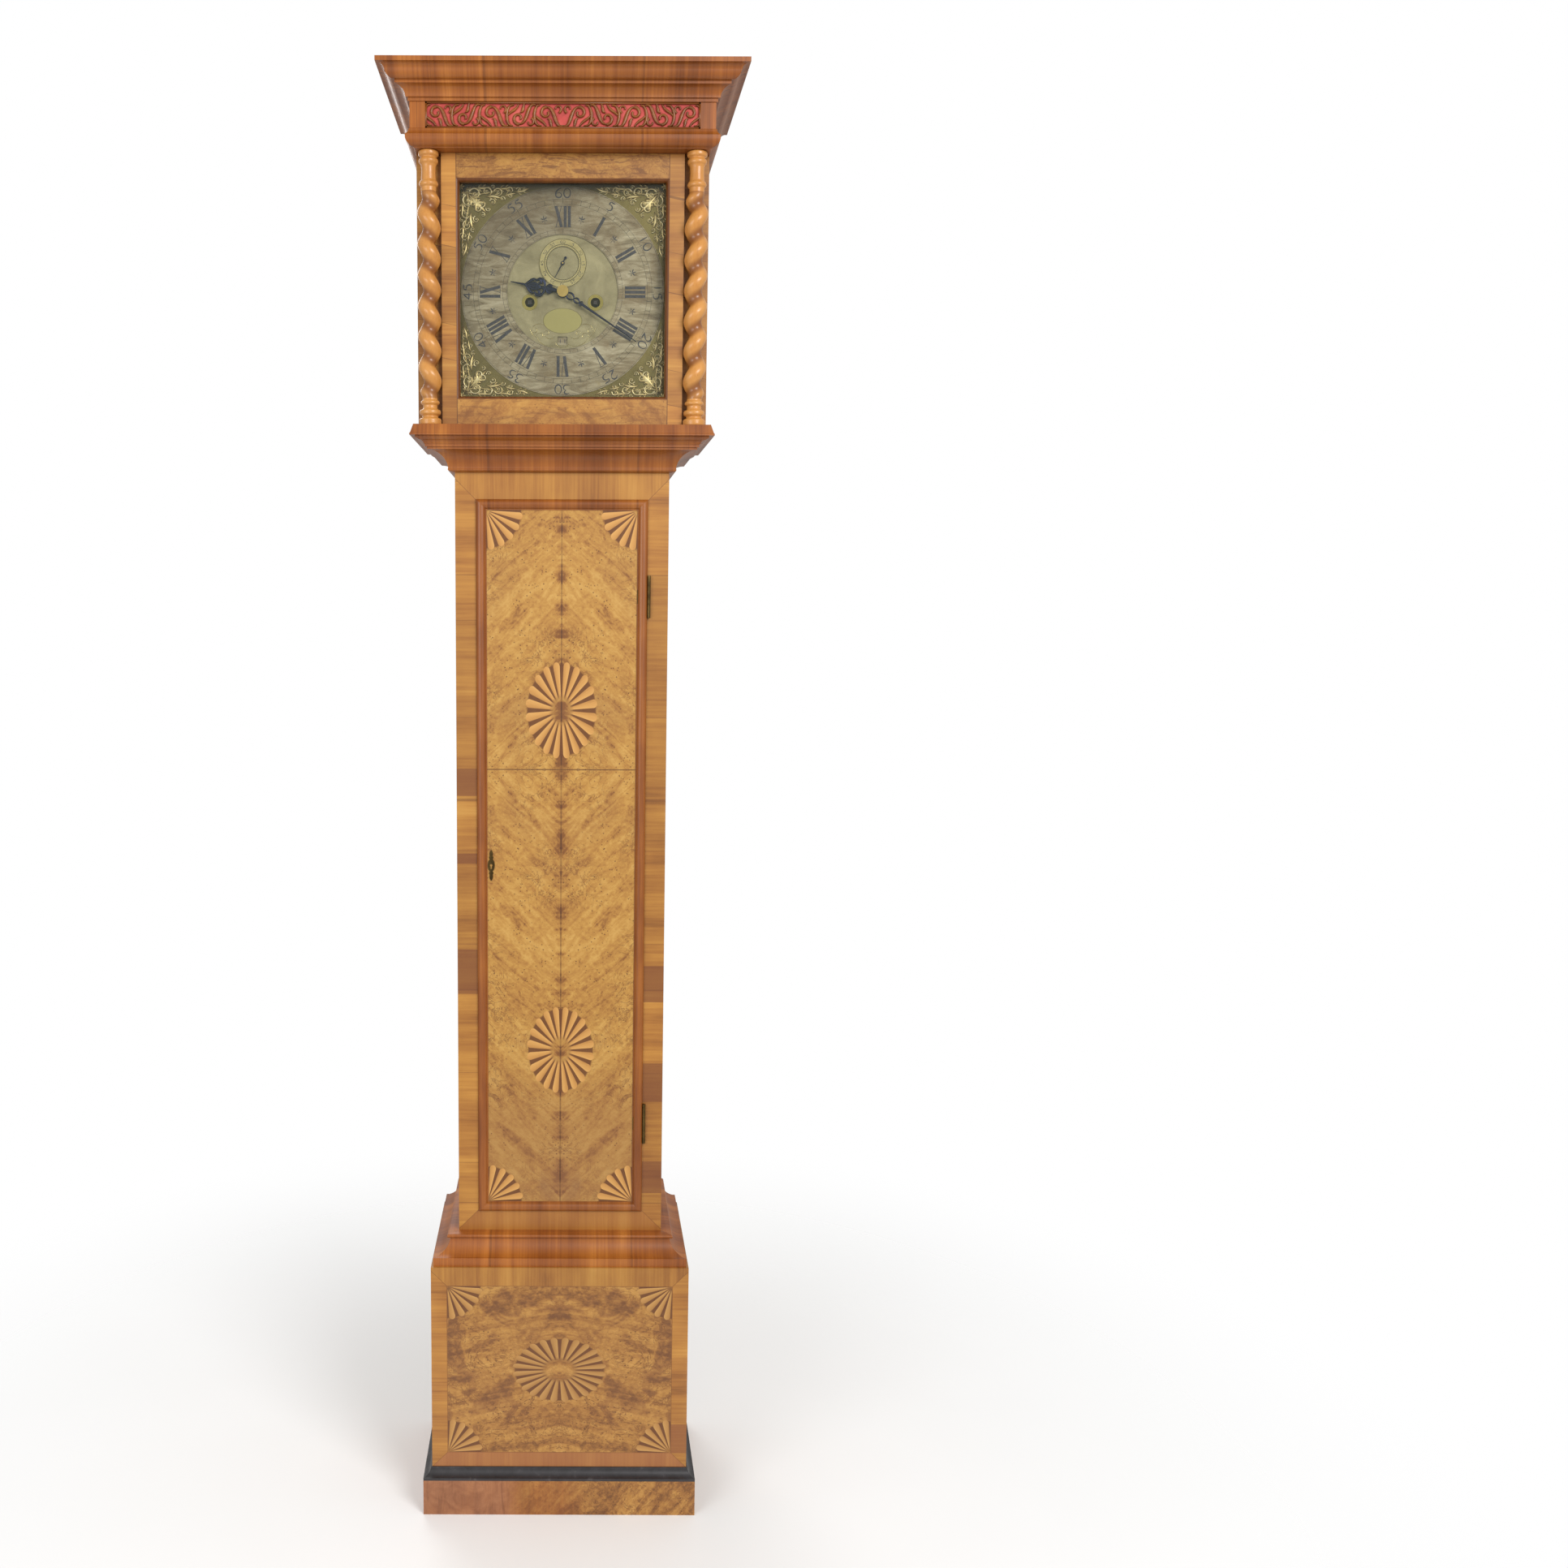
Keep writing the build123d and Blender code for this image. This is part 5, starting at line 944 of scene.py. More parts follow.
class SwappedRelief(Relief):
    """The same face with its two directions swapped."""

    def set_down(self, u: np.ndarray, v: np.ndarray, rise: np.ndarray) -> np.ndarray:
        """Swaps u and v before setting the points down."""
        return Relief.set_down(self, v, u, rise)

    @property
    def flips(self) -> bool:
        """A swap turns faces over once more."""
        return self.mirror_x == self.mirror_z


def stroke(piece: Piece, at: Relief, path: np.ndarray, width: np.ndarray, rise: np.ndarray | float,
           sides: int = 7, sunk: float = 0.0) -> None:
    """A raised stroke: half an ellipse carried along a flat path, closed underneath.

    The section's corner k lies at width/2 times cos(k) beside the path and rise times sin(k) above
    the face, for angles k from 0 to half a turn.

    Args:
        piece: what the stroke is added to.
        at: the face.
        path: points (u, v), in metres.
        width: full width at each point.
        rise: height at each point.
        sides: corners of the half ellipse.
        sunk: how far the stroke's flat underside lies inside the face.
    """
    path = np.asarray(path, float)
    along = np.gradient(path, axis=0)
    along /= np.maximum(np.linalg.norm(along, axis=1, keepdims=True), 1e-9)
    beside = np.stack([-along[:, 1], along[:, 0]], axis=1)
    angle = np.linspace(0.0, math.pi, sides)
    half = np.broadcast_to(np.asarray(width, float), len(path))[:, None] / 2
    high = np.broadcast_to(np.asarray(rise, float), len(path))[:, None]
    u = path[:, :1] + beside[:, :1] * half * np.cos(angle)
    v = path[:, 1:] + beside[:, 1:] * half * np.cos(angle)
    lift = high * np.sin(angle) - sunk
    piece.grid(at.set_down(u, v, lift), flip=not at.flips)


def arc(centre: tuple[float, float], radius: float, start: float, end: float, count: int = 24,
        shrink: float = 1.0) -> np.ndarray:
    """Points of an arc or spiral: the radius falls evenly to shrink times itself, angles in degrees."""
    angle = np.radians(np.linspace(start, end, count))
    reach = radius * np.linspace(1.0, shrink, count)
    return np.stack([centre[0] + reach * np.cos(angle), centre[1] + reach * np.sin(angle)], axis=1)


def bezier(points: Sequence[tuple[float, float]], count: int = 24) -> np.ndarray:
    """Points of a cubic curve from the first of its four control points to the last."""
    t = np.linspace(0.0, 1.0, count)[:, None]
    a, b, c, d = (np.array(p, float) for p in points)
    return (1 - t) ** 3 * a + 3 * (1 - t) ** 2 * t * b + 3 * (1 - t) * t ** 2 * c + t ** 3 * d


def swell(count: int, thin: float, thick: float, power: float = 1.0) -> np.ndarray:
    """Widths that swell from thin at both ends to thick in the middle."""
    return thin + (thick - thin) * np.sin(np.linspace(0, math.pi, count)) ** power


def taper(count: int, start: float, end: float) -> np.ndarray:
    """Widths that run evenly from start to end."""
    return np.linspace(start, end, count)


# Sub-assemblies


@dataclass
class TwistColumns:
    """Two barley-twist columns, mirrored, that ride on the hood door."""

    x: float = COLUMN_X
    y: float = COLUMN_Y
    low: float = 1.6085
    high: float = 1.9725
    radius: float = 0.016
    base: float = 0.035
    cap: float = 0.052
    pitch: float = 0.0409
    hollow: float = 0.0084
    ridge: float = 1.9131
    recess: float = 0.0165
    block: float = 0.007
    block_height: float = 0.006
    fullness: float = 0.95
    blend: float = 0.016
    overlap: float = 0.001

    def rings(self) -> tuple[np.ndarray, np.ndarray]:
        """Heights and radii of the turned parts, with the two ends' rings and necks."""
        length = self.high - self.low
        foot = [(0.0, 15.0), (2.0, 15.4), (7.0, 15.4), (8.6, 14.2), (9.2, 11.6), (11.0, 10.6), (13.0, 11.6),
                (13.6, 13.6), (15.5, 14.6), (18.5, 14.6), (20.2, 13.6), (20.8, 11.4), (23.0, 9.8),
                (27.0, 9.9), (28.0, 12.4), (30.0, 13.2), (32.4, 12.4), (33.2, 10.6), (35.0, 10.2)]
        head = [(0.0, 13.2), (1.2, 13.8), (5.0, 13.8), (6.4, 12.6), (7.2, 11.0), (9.0, 10.8), (10.0, 12.4),
                (12.6, 13.2), (15.4, 12.6), (16.8, 11.0), (20.0, 9.9), (28.0, 9.6), (38.0, 10.2),
                (40.0, 12.2), (42.6, 13.2), (45.6, 12.4), (46.6, 10.4), (52.0, 10.2)]
        heights = [z / 1000 for z, _ in foot] + [length - z / 1000 for z, _ in reversed(head)]
        radii = [r / 1000 for _, r in foot] + [r / 1000 for _, r in reversed(head)]
        return np.array(heights), np.array(radii)

    def surface(self, hand: int) -> np.ndarray:
        """The column as radius over angle and height.

        The twist is one rounded strand with a tight hollow beside it: its radius runs from the hollow's
        to the full radius as (1/2 + cos t / 2) to the power of its fullness, where t is the angle less
        a turn that grows by a full circle in each pitch. Near its ends it blends into the rings.

        Args:
            hand: 1 for a right-handed twist, -1 for a left-handed one.
        """
        length = self.high - self.low
        z = np.linspace(0.0, length, 420)[:, None]
        angle = np.linspace(0.0, 2 * math.pi, 64, endpoint=False)[None, :]
        heights, radii = self.rings()
        round_radius = np.interp(z[:, 0], heights, radii)[:, None]
        t = angle - hand * 2 * math.pi * (self.low + z - self.ridge) / self.pitch - max(hand, 0) * math.pi
        twist = self.hollow + (self.radius - self.hollow) * (0.5 + 0.5 * np.cos(t)) ** self.fullness
        rise = (np.clip((z - self.base + self.overlap) / self.blend, 0, 1)
                * np.clip((length - self.cap + self.overlap - z) / self.blend, 0, 1))
        share = rise * rise * (3 - 2 * rise)
        radius = round_radius * (1 - share) + twist * share
        return np.stack([self.x * hand + radius * np.cos(angle), self.y + radius * np.sin(angle),
                         self.low + z + 0 * angle], axis=-1)

    def build(self, finish: bpy.types.Material) -> None:
        """Makes the columns with their small fixing blocks."""
        piece = Piece("barley_twist_columns")
        for hand in (-1, 1):
            piece.grid(self.surface(hand))
            for z in (self.low, self.high - self.block_height):
                piece.block((self.x * hand - self.block, self.y + 0.004, z),
                            (self.x * hand + self.block, self.y + self.recess, z + self.block_height))
        piece.make("hood_door", "column_walnut", finish, ["twist_columns"])


@dataclass
class FriezePanel:
    """The pierced scroll fret in front of stretched red silk."""

    half_width: float = 0.185
    low: float = 1.997
    high: float = 2.031
    front: float = -0.109
    thick: float = 0.003
    units: int = 5

    def scrolls(self, piece: Piece, u: float, mirror: bool, upside: bool) -> None:
        """One repeat: an S stem with a curled head, a U loop and two leaves."""
        middle = (self.low + self.high) / 2
        at = Relief(-u if mirror else u, self.front + self.thick, middle, 0.0, mirror, upside)
        rise = self.thick * 0.95
        stem = bezier([(-0.019, -0.013), (-0.006, -0.019), (-0.010, 0.012), (0.004, 0.011)])
        stroke(piece, at, stem, swell(24, 0.0022, 0.0052), rise)
        stroke(piece, at, arc((0.004, 0.0035), 0.0078, 95, -210, 30, 0.34), taper(30, 0.0046, 0.0028), rise)
        loop = bezier([(0.010, -0.013), (0.024, -0.016), (0.022, 0.016), (0.012, 0.013)])
        stroke(piece, at, loop, swell(24, 0.0020, 0.0046), rise)
        stroke(piece, at, bezier([(0.004, -0.014), (0.008, -0.006), (0.014, -0.006), (0.0185, 0.0)]),
               swell(24, 0.0020, 0.0040), rise)
        stroke(piece, at, arc((-0.0115, 0.0085), 0.0052, 250, -10, 20, 0.5), taper(20, 0.0036, 0.0022), rise)
        stroke(piece, at, bezier([(-0.004, -0.0155), (-0.001, -0.010), (-0.003, -0.004), (0.002, -0.004)]),
               swell(24, 0.0014, 0.0046), rise)

    def build(self, wood: bpy.types.Material, silk: bpy.types.Material) -> None:
        """Makes the fret with its rim, and the silk behind it."""
        piece = Piece("scroll_fret")
        pitch = self.half_width / self.units
        for count in range(self.units):
            for mirror in (False, True):
                self.scrolls(piece, pitch * (count + 0.5), mirror, bool(count % 2))
        rim = 0.0022
        for z in (self.low, self.high - rim):
            piece.block((-self.half_width, self.front, z),
                        (self.half_width, self.front + self.thick, z + rim))
        for x in (-self.half_width, self.half_width - rim):
            piece.block((x, self.front, self.low), (x + rim, self.front + self.thick, self.high))
        piece.make("hood", "moulding_walnut", wood, ["frieze_fret"])
        cloth = Piece("fret_silk")
        rows, columns = 18, 150
        u = np.linspace(-self.half_width, self.half_width, columns)[None, :]
        v = np.linspace(self.low, self.high, rows)[:, None]
        ripple = (0.00018 * np.sin(u * 170 + np.sin(v * 90) * 2)
                  * np.sin((v - self.low) / (self.high - self.low) * math.pi))
        y = self.front + self.thick + 0.0004 + ripple
        cloth.grid(np.stack([u + 0 * v, y, v + 0 * u], axis=-1), wrap=False)
        sheet = cloth.make("hood", "silk", silk, ["frieze_silk"])


@dataclass
class DialEngraving:
    """Numerals, half-hour marks and engraved scrolls of the dial."""

    centre: float = DIAL_CENTRE
    ring_face: float = -0.0516
    plate_face: float = DIAL_FACE
    seconds_z: float = 0.039
    hour_low: float = 0.0875
    hour_high: float = 0.1155
    minute_radius: float = 0.1330
    half_mark: float = 0.1005
    date_face: float = -0.0473
    date_radius: float = 0.0660
    day_shown: int = 11
    ink: float = 0.00006
    seconds_face: float = -0.0510
    seconds_radius: float = 0.0288
    minute_tall: float = 0.0125
    seconds_tall: float = 0.0040
    day_tall: float = 0.0068
    days: int = 31
    cut: float = 0.0006 * 1.6

    NUMERALS = ("XII", "I", "II", "III", "IIII", "V", "VI", "VII", "VIII", "IX", "X", "XI")

    def bar(self, piece: Piece, at: Relief, a: tuple[float, float], b: tuple[float, float],
            width: float) -> None:
        """One straight stroke between two points."""
        stroke(piece, at, np.array([a, ((a[0] + b[0]) / 2, (a[1] + b[1]) / 2), b]), np.full(3, width),
               self.ink, 3)

    def roman(self, piece: Piece, hour: int) -> None:
        """A Roman numeral whose feet face the centre: thick and thin strokes with serifs."""
        at = Relief(0.0, self.ring_face, self.centre, hour * 30.0)
        text = self.NUMERALS[hour % 12]
        widths = {"I": 0.0058, "V": 0.0122, "X": 0.0122}
        total = sum(widths[letter] for letter in text)
        left = -total / 2
        low, high = self.hour_low, self.hour_high
        for letter in text:
            wide = widths[letter]
            middle = left + wide / 2
            if letter == "I":
                self.bar(piece, at, (middle, low), (middle, high), 0.0041)
            elif letter == "V":
                self.bar(piece, at, (middle - 0.0037, high), (middle + 0.0003, low), 0.0042)
                self.bar(piece, at, (middle + 0.0040, high), (middle + 0.0005, low), 0.0009)
            else:
                self.bar(piece, at, (middle - 0.0040, high), (middle + 0.0040, low), 0.0042)
                self.bar(piece, at, (middle + 0.0038, high), (middle - 0.0038, low), 0.0009)
            for z in (low, high):
                if not (letter == "V" and z == low):
                    self.bar(piece, at, (middle - wide * 0.46, z), (middle + wide * 0.46, z), 0.0007)
            left += wide

    def digit(self, piece: Piece, at: Relief, figure: str, u: float, v: float, tall: float) -> None:
        """An old-style figure drawn with arcs that swell from thin to thick.

        Only 0 to 6 have a shape: 7, 8 and 9 come out as a 6, which shows on the date ring.
        """
        w, h = tall * 0.38, tall / 2

        def run(path: np.ndarray) -> None:
            """One swelling stroke of the figure."""
            width = swell(len(path), 0.05 * tall, 0.155 * tall)
            stroke(piece, at, path + np.array([u, v]), width, self.ink, 3)

        def curve(*points: tuple[float, float]) -> None:
            """A cubic stroke, with its points in half-widths and half-heights."""
            run(bezier([(x * w, y * h) for x, y in points]))

        if figure == "0":
            run(arc((0, 0), 1.0, 90, 450, 40) * np.array([w * 0.95, h * 0.98]))
        elif figure == "1":
            curve((0, 1), (0, 0.4), (0, -0.4), (0, -1))
        elif figure == "2":
            curve((-0.9, 0.5), (-0.6, 1.3), (1.3, 1.2), (0.7, 0.1))
            curve((0.7, 0.1), (0.4, -0.3), (-0.4, -0.6), (-0.9, -1.0))
            curve((-0.9, -1.0), (-0.3, -0.7), (0.4, -1.1), (1.0, -0.8))
        elif figure == "3":
            curve((-0.8, 0.8), (0.2, 1.3), (1.3, 0.7), (0.1, 0.15))
            curve((0.1, 0.15), (1.5, 0.1), (1.1, -1.4), (-0.9, -0.9))
        elif figure == "4":
            curve((0.4, 1), (0.4, 0.4), (0.4, -0.4), (0.4, -1))
            curve((0.4, 1), (0.0, 0.5), (-0.6, 0.0), (-1.0, -0.3))
            curve((-1.0, -0.3), (-0.4, -0.3), (0.4, -0.3), (1.0, -0.3))
        elif figure == "5":
            curve((0.9, 0.95), (0.4, 0.8), (-0.1, 0.9), (-0.5, 0.9))
            curve((-0.5, 0.9), (-0.6, 0.6), (-0.7, 0.4), (-0.7, 0.2))
            curve((-0.7, 0.2), (0.8, 0.7), (1.5, -1.2), (-0.8, -0.95))
        else:
            curve((0.8, 1.0), (-0.6, 0.9), (-1.2, -0.2), (-0.8, -0.6))
            run(arc((0, 0), 1.0, 90, 450, 36) * np.array([w * 0.85, h * 0.52]) + np.array([0, -h * 0.45]))

    def number(self, piece: Piece, at: Relief, text: str, radius: float, tall: float) -> None:
        """A number set along its circle."""
        step = tall * 0.94
        for index, figure in enumerate(text):
            self.digit(piece, at, figure, (index - (len(text) - 1) / 2) * step, radius, tall)

    def date_numbers(self, piece: Piece) -> None:
        """The days of the month round the date ring, upright when they reach the window at the bottom."""
        for day in range(1, self.days + 1):
            at = Relief(0.0, self.date_face, self.centre, (day - self.day_shown) * 360.0 / self.days)
            self.number(piece, at, str(day), -self.date_radius, self.day_tall)

    def half_hour(self, piece: Piece, angle: float) -> None:
        """A small lily mark: three leaves, a stem and a bar."""
        at = Relief(0.0, self.ring_face, self.centre, angle)
        r = self.half_mark
        for u, v in ((0.0, 0.0060), (-0.0038, 0.0034), (0.0038, 0.0034)):
            path = bezier([(0, r), (u * 0.2, r + v * 0.3), (u * 1.2, r + v * 0.5), (u, r + v)], 12)
            stroke(piece, at, path, swell(12, 0.0002, 0.0016), self.ink, 3)
        stroke(piece, at, bezier([(0, r), (0, r - 0.002), (0, r - 0.004), (0, r - 0.0062)], 8),
               np.full(8, 0.0005), self.ink, 3)
        for u in (-1, 1):
            path = bezier([(0, r - 0.001), (u * 0.002, r - 0.002), (u * 0.004, r - 0.001),
                           (u * 0.0035, r - 0.0035)], 10)
            stroke(piece, at, path, swell(10, 0.0002, 0.0010), self.ink, 3)

    def centre_scrolls(self, piece: Piece) -> None:
        """Engraved leaf scrolls round the date aperture, mirrored left and right."""
        for mirror in (False, True):
            at = Relief(0.0, self.plate_face, self.centre, 0.0, mirror)
            paths = [
                bezier([(0.009, -0.071), (0.020, -0.078), (0.034, -0.070), (0.036, -0.060)]),
                arc((0.031, -0.060), 0.0055, 0, 270, 26, 0.4),
                bezier([(0.010, -0.060), (0.016, -0.066), (0.024, -0.064), (0.026, -0.056)]),
                arc((0.022, -0.056), 0.0042, 0, 300, 24, 0.35),
                bezier([(0.024, -0.046), (0.032, -0.040), (0.042, -0.044), (0.043, -0.052)]),
                arc((0.0385, -0.0515), 0.0048, 0, -280, 24, 0.35),
                bezier([(0.000, -0.075), (0.004, -0.0755), (0.008, -0.074), (0.010, -0.068)]),
                bezier([(0.036, -0.062), (0.041, -0.060), (0.045, -0.056), (0.046, -0.048)]),
            ]
            for path in paths:
                stroke(piece, at, path, swell(len(path), 0.0002, self.cut), self.ink, 3)

    def build(self, wax: bpy.types.Material, bright: bpy.types.Material) -> None:
        """Makes the wax-filled numerals and the bright-cut scrolls."""
        wax_piece = Piece("dial_numerals")
        for hour in range(12):
            self.roman(wax_piece, hour)
            self.half_hour(wax_piece, hour * 30.0 + 15.0)
        for step in range(1, 13):
            at = Relief(0.0, self.ring_face, self.centre, step * 30.0)
            self.number(wax_piece, at, str(step * 5), self.minute_radius, self.minute_tall)
        for step in range(1, 13):
            at = Relief(0.0, self.seconds_face, self.centre + self.seconds_z, step * 30.0)
            self.number(wax_piece, at, str(step * 5), self.seconds_radius, self.seconds_tall)
        wax_piece.make("case", "black_wax", wax, smooth=False)
        days = Piece("date_numbers")
        self.date_numbers(days)
        days.make("date", "black_wax", wax, smooth=False)
        cut = Piece("dial_centre_scrolls")
        self.centre_scrolls(cut)
        cut.make("case", "gilt_brass", bright)


# Scrolls as level, upright, radius, start, sweep and width; leaves as two ends, width and bend; in mm
SCROLLS = ((30, 21, 8.6, 200, 400, 3.4), (47, 17.5, 6.6, 20, -380, 3.0), (63, 19.0, 6.4, 200, 380, 2.8),
           (78, 15.5, 4.8, 20, -360, 2.3), (91, 15.6, 3.6, 200, 340, 1.9), (40, 34.0, 5.2, 120, -380, 2.4),
           (55, 32.0, 4.6, 200, 380, 2.2), (68.5, 27.2, 3.6, 20, -360, 1.8), (37, 12.6, 3.2, 60, 340, 1.7),
           (56, 11.8, 3.0, 200, 340, 1.6), (80, 23.0, 3.0, 200, -340, 1.5), (22.5, 34.5, 3.4, 90, 340, 1.8),
           (49, 41.0, 3.6, 200, -350, 1.8), (99, 13.4, 2.4, 30, 330, 1.3))
LEAVES = (((22, 30), (44, 30), 6.0, 0.12), ((44, 25), (68, 28), 5.0, -0.15), ((60, 12), (84, 11), 3.8, 0.1),
          ((84, 18), (107, 11.5), 3.6, 0.12), ((28, 12.5), (54, 10.8), 4.2, 0.06),
          ((14, 14), (30, 13), 4.0, 0.1), ((70, 24), (88, 20.5), 3.2, -0.1))


@dataclass
class Spandrels:
    """Four cast corner ornaments of scrolls, leaves and a small flower."""

    half: float = 0.1525
    centre: float = DIAL_CENTRE
    face: float = DIAL_FACE
    rise: float = 0.0024
    flower: float = 0.0105

    def scroll(self, piece: Piece, at: Relief, u: float, v: float, radius: float, start: float, sweep: float,
               width: float) -> None:
        """A curled scroll that thins towards its eye."""
        path = arc((u, v), radius, start, start + sweep, 30, 0.30)
        stroke(piece, at, path, taper(30, width, width * 0.45), self.rise * np.linspace(0.95, 0.55, 30))
        stroke(piece, at, arc((u, v), radius * 0.22, 0, 330, 12), np.full(12, width * 0.5),
               self.rise * 0.9, 5)

    def foliage(self, piece: Piece, at: Relief, a: tuple[float, float], b: tuple[float, float], width: float,
                bend: float) -> None:
        """A leaf with a raised midrib and two smaller lobes."""
        ax, ay = a
        bx, by = b
        side = (-(by - ay) * bend, (bx - ax) * bend)
        path = bezier([a, (ax + (bx - ax) * 0.35 + side[0], ay + (by - ay) * 0.35 + side[1]),
                       (ax + (bx - ax) * 0.7 + side[0], ay + (by - ay) * 0.7 + side[1]), b], 20)
        stroke(piece, at, path, swell(20, 0.0004, width), self.rise * swell(20, 0.25, 0.8))
        for sign in (-1, 1):
            for start in (4, 9):
                base = path[start]
                way = path[start + 4] - base
                beside = np.array([-way[1], way[0]]) * sign * 0.9
                lobe = bezier([tuple(base), tuple(base + way * 0.3 + beside * 0.5),
                               tuple(base + way * 0.8 + beside), tuple(base + way * 1.3 + beside * 0.9)], 10)
                stroke(piece, at, lobe, swell(10, 0.0003, width * 0.5), self.rise * swell(10, 0.2, 0.7), 5)

    def corner(self, piece: Piece, mirror_x: bool, mirror_z: bool, swap: bool) -> None:
        """Half of one corner's ornament; swap lays the other half across the diagonal."""
        x = self.half if mirror_x else -self.half
        z = self.centre + (self.half if mirror_z else -self.half)
        kind = SwappedRelief if swap else Relief
        at = kind(x, self.face, z, 0.0, mirror_x, mirror_z)
        mm = 0.001
        for u, v, radius, start, sweep, width in SCROLLS:
            self.scroll(piece, at, u * mm, v * mm, radius * mm, start, sweep, width * mm)
        for a, b, width, bend in LEAVES:
            self.foliage(piece, at, (a[0] * mm, a[1] * mm), (b[0] * mm, b[1] * mm), width * mm, bend)
        stem = bezier([(0.016, 0.017), (0.040, 0.030), (0.070, 0.006), (0.104, 0.014)], 50)
        stroke(piece, at, stem, taper(50, 0.0036, 0.0012), self.rise * 0.6)
        if not swap:
            self.foliage(piece, at, (0.018, 0.018), (0.047, 0.047), 0.0065, 0.0)
            for angle in range(0, 360, 60):
                turn = math.radians(angle)
                tip = (self.flower + 0.0052 * math.cos(turn), self.flower + 0.0052 * math.sin(turn))
                path = bezier([(self.flower, self.flower)] * 2 + [tip, tip], 8)
                stroke(piece, at, path, swell(8, 0.0008, 0.0032), self.rise * 0.7, 5)

    def build(self, finish: bpy.types.Material) -> None:
        """Makes all four corners as one piece."""
        piece = Piece("corner_spandrels")
        for mirror_x in (False, True):
            for mirror_z in (False, True):
                for swap in (False, True):
                    self.corner(piece, mirror_x, mirror_z, swap)
        piece.make("case", "gilt_brass", finish, ["spandrels"])


@dataclass
class Hands:
    """Blued steel hands: a pierced hour hand and a long minute hand with small loops."""

    centre: float = DIAL_CENTRE
    minute_y: float = -0.0572
    hour_y: float = -0.0544
    minute_angle: float = 123.5
    hour_angle: float = 280.3
    thick: float = 0.0010

    def ring(self, piece: Piece, at: Relief, radius: float, width: float) -> None:
        """A flat ring round the boss."""
        stroke(piece, at, arc((0, 0), radius, 0, 360, 40), np.full(40, width), self.thick, 5)

    def build(self, steel: bpy.types.Material) -> None:
        """Makes both hands."""
        minute = Piece("minute_hand_blued")
        at = Relief(0.0, self.minute_y, self.centre, self.minute_angle)
        self.ring(minute, at, 0.0052, 0.0040)
        for sign in (-1, 1):
            for a, b, bow in ((0.0062, 0.0190, 0.0058), (0.0185, 0.0285, 0.0040)):
                path = bezier([(0, a), (sign * bow, a + 0.003), (sign * bow, b - 0.003), (0, b)])
                stroke(minute, at, path, swell(24, 0.0014, 0.0028), self.thick, 5)
            curl = bezier([(0, 0.0280), (sign * 0.0034, 0.0285), (sign * 0.0040, 0.0325),
                           (sign * 0.0014, 0.0330)], 14)
            stroke(minute, at, curl, swell(14, 0.0006, 0.0016), self.thick, 5)
        shaft = np.stack([np.zeros(30), np.linspace(0.0270, 0.124, 30)], axis=1)
        stroke(minute, at, shaft, taper(30, 0.0038, 0.0012), self.thick, 5)
        minute.make("centre_arbor", "blued_steel", steel, ["minute_hand"])

        hour = Piece("hour_hand_blued")
        at = Relief(0.0, self.hour_y, self.centre, self.hour_angle)
        self.ring(hour, at, 0.0066, 0.0036)
        neck = np.stack([np.zeros(12), np.linspace(0.0080, 0.0300, 12)], axis=1)
        stroke(hour, at, neck, swell(12, 0.0040, 0.0070), self.thick, 5)
        for sign in (-1, 1):
            runs = [bezier([(0, 0.026), (sign * 0.010, 0.024), (sign * 0.015, 0.034),
                            (sign * 0.0085, 0.0385)]),
                    arc((sign * 0.0070, 0.0345), 0.0040, 90, 90 - sign * 300, 20, 0.45),
                    bezier([(sign * 0.0085, 0.0385), (sign * 0.012, 0.044), (sign * 0.004, 0.047),
                            (0, 0.054)]),
                    bezier([(0, 0.032), (sign * 0.004, 0.037), (sign * 0.006, 0.043), (0, 0.049)]),
                    bezier([(sign * 0.0035, 0.0150), (sign * 0.006, 0.018), (sign * 0.005, 0.022),
                            (0, 0.0235)])]
            for path in runs:
                stroke(hour, at, path, swell(len(path), 0.0020, 0.0042), self.thick, 5)
        tip = np.stack([np.zeros(16), np.linspace(0.0300, 0.074, 16)], axis=1)
        stroke(hour, at, tip, taper(16, 0.0052, 0.0014), self.thick, 5)
        hour.make("hour_pipe", "blued_steel", steel, ["hour_hand"])


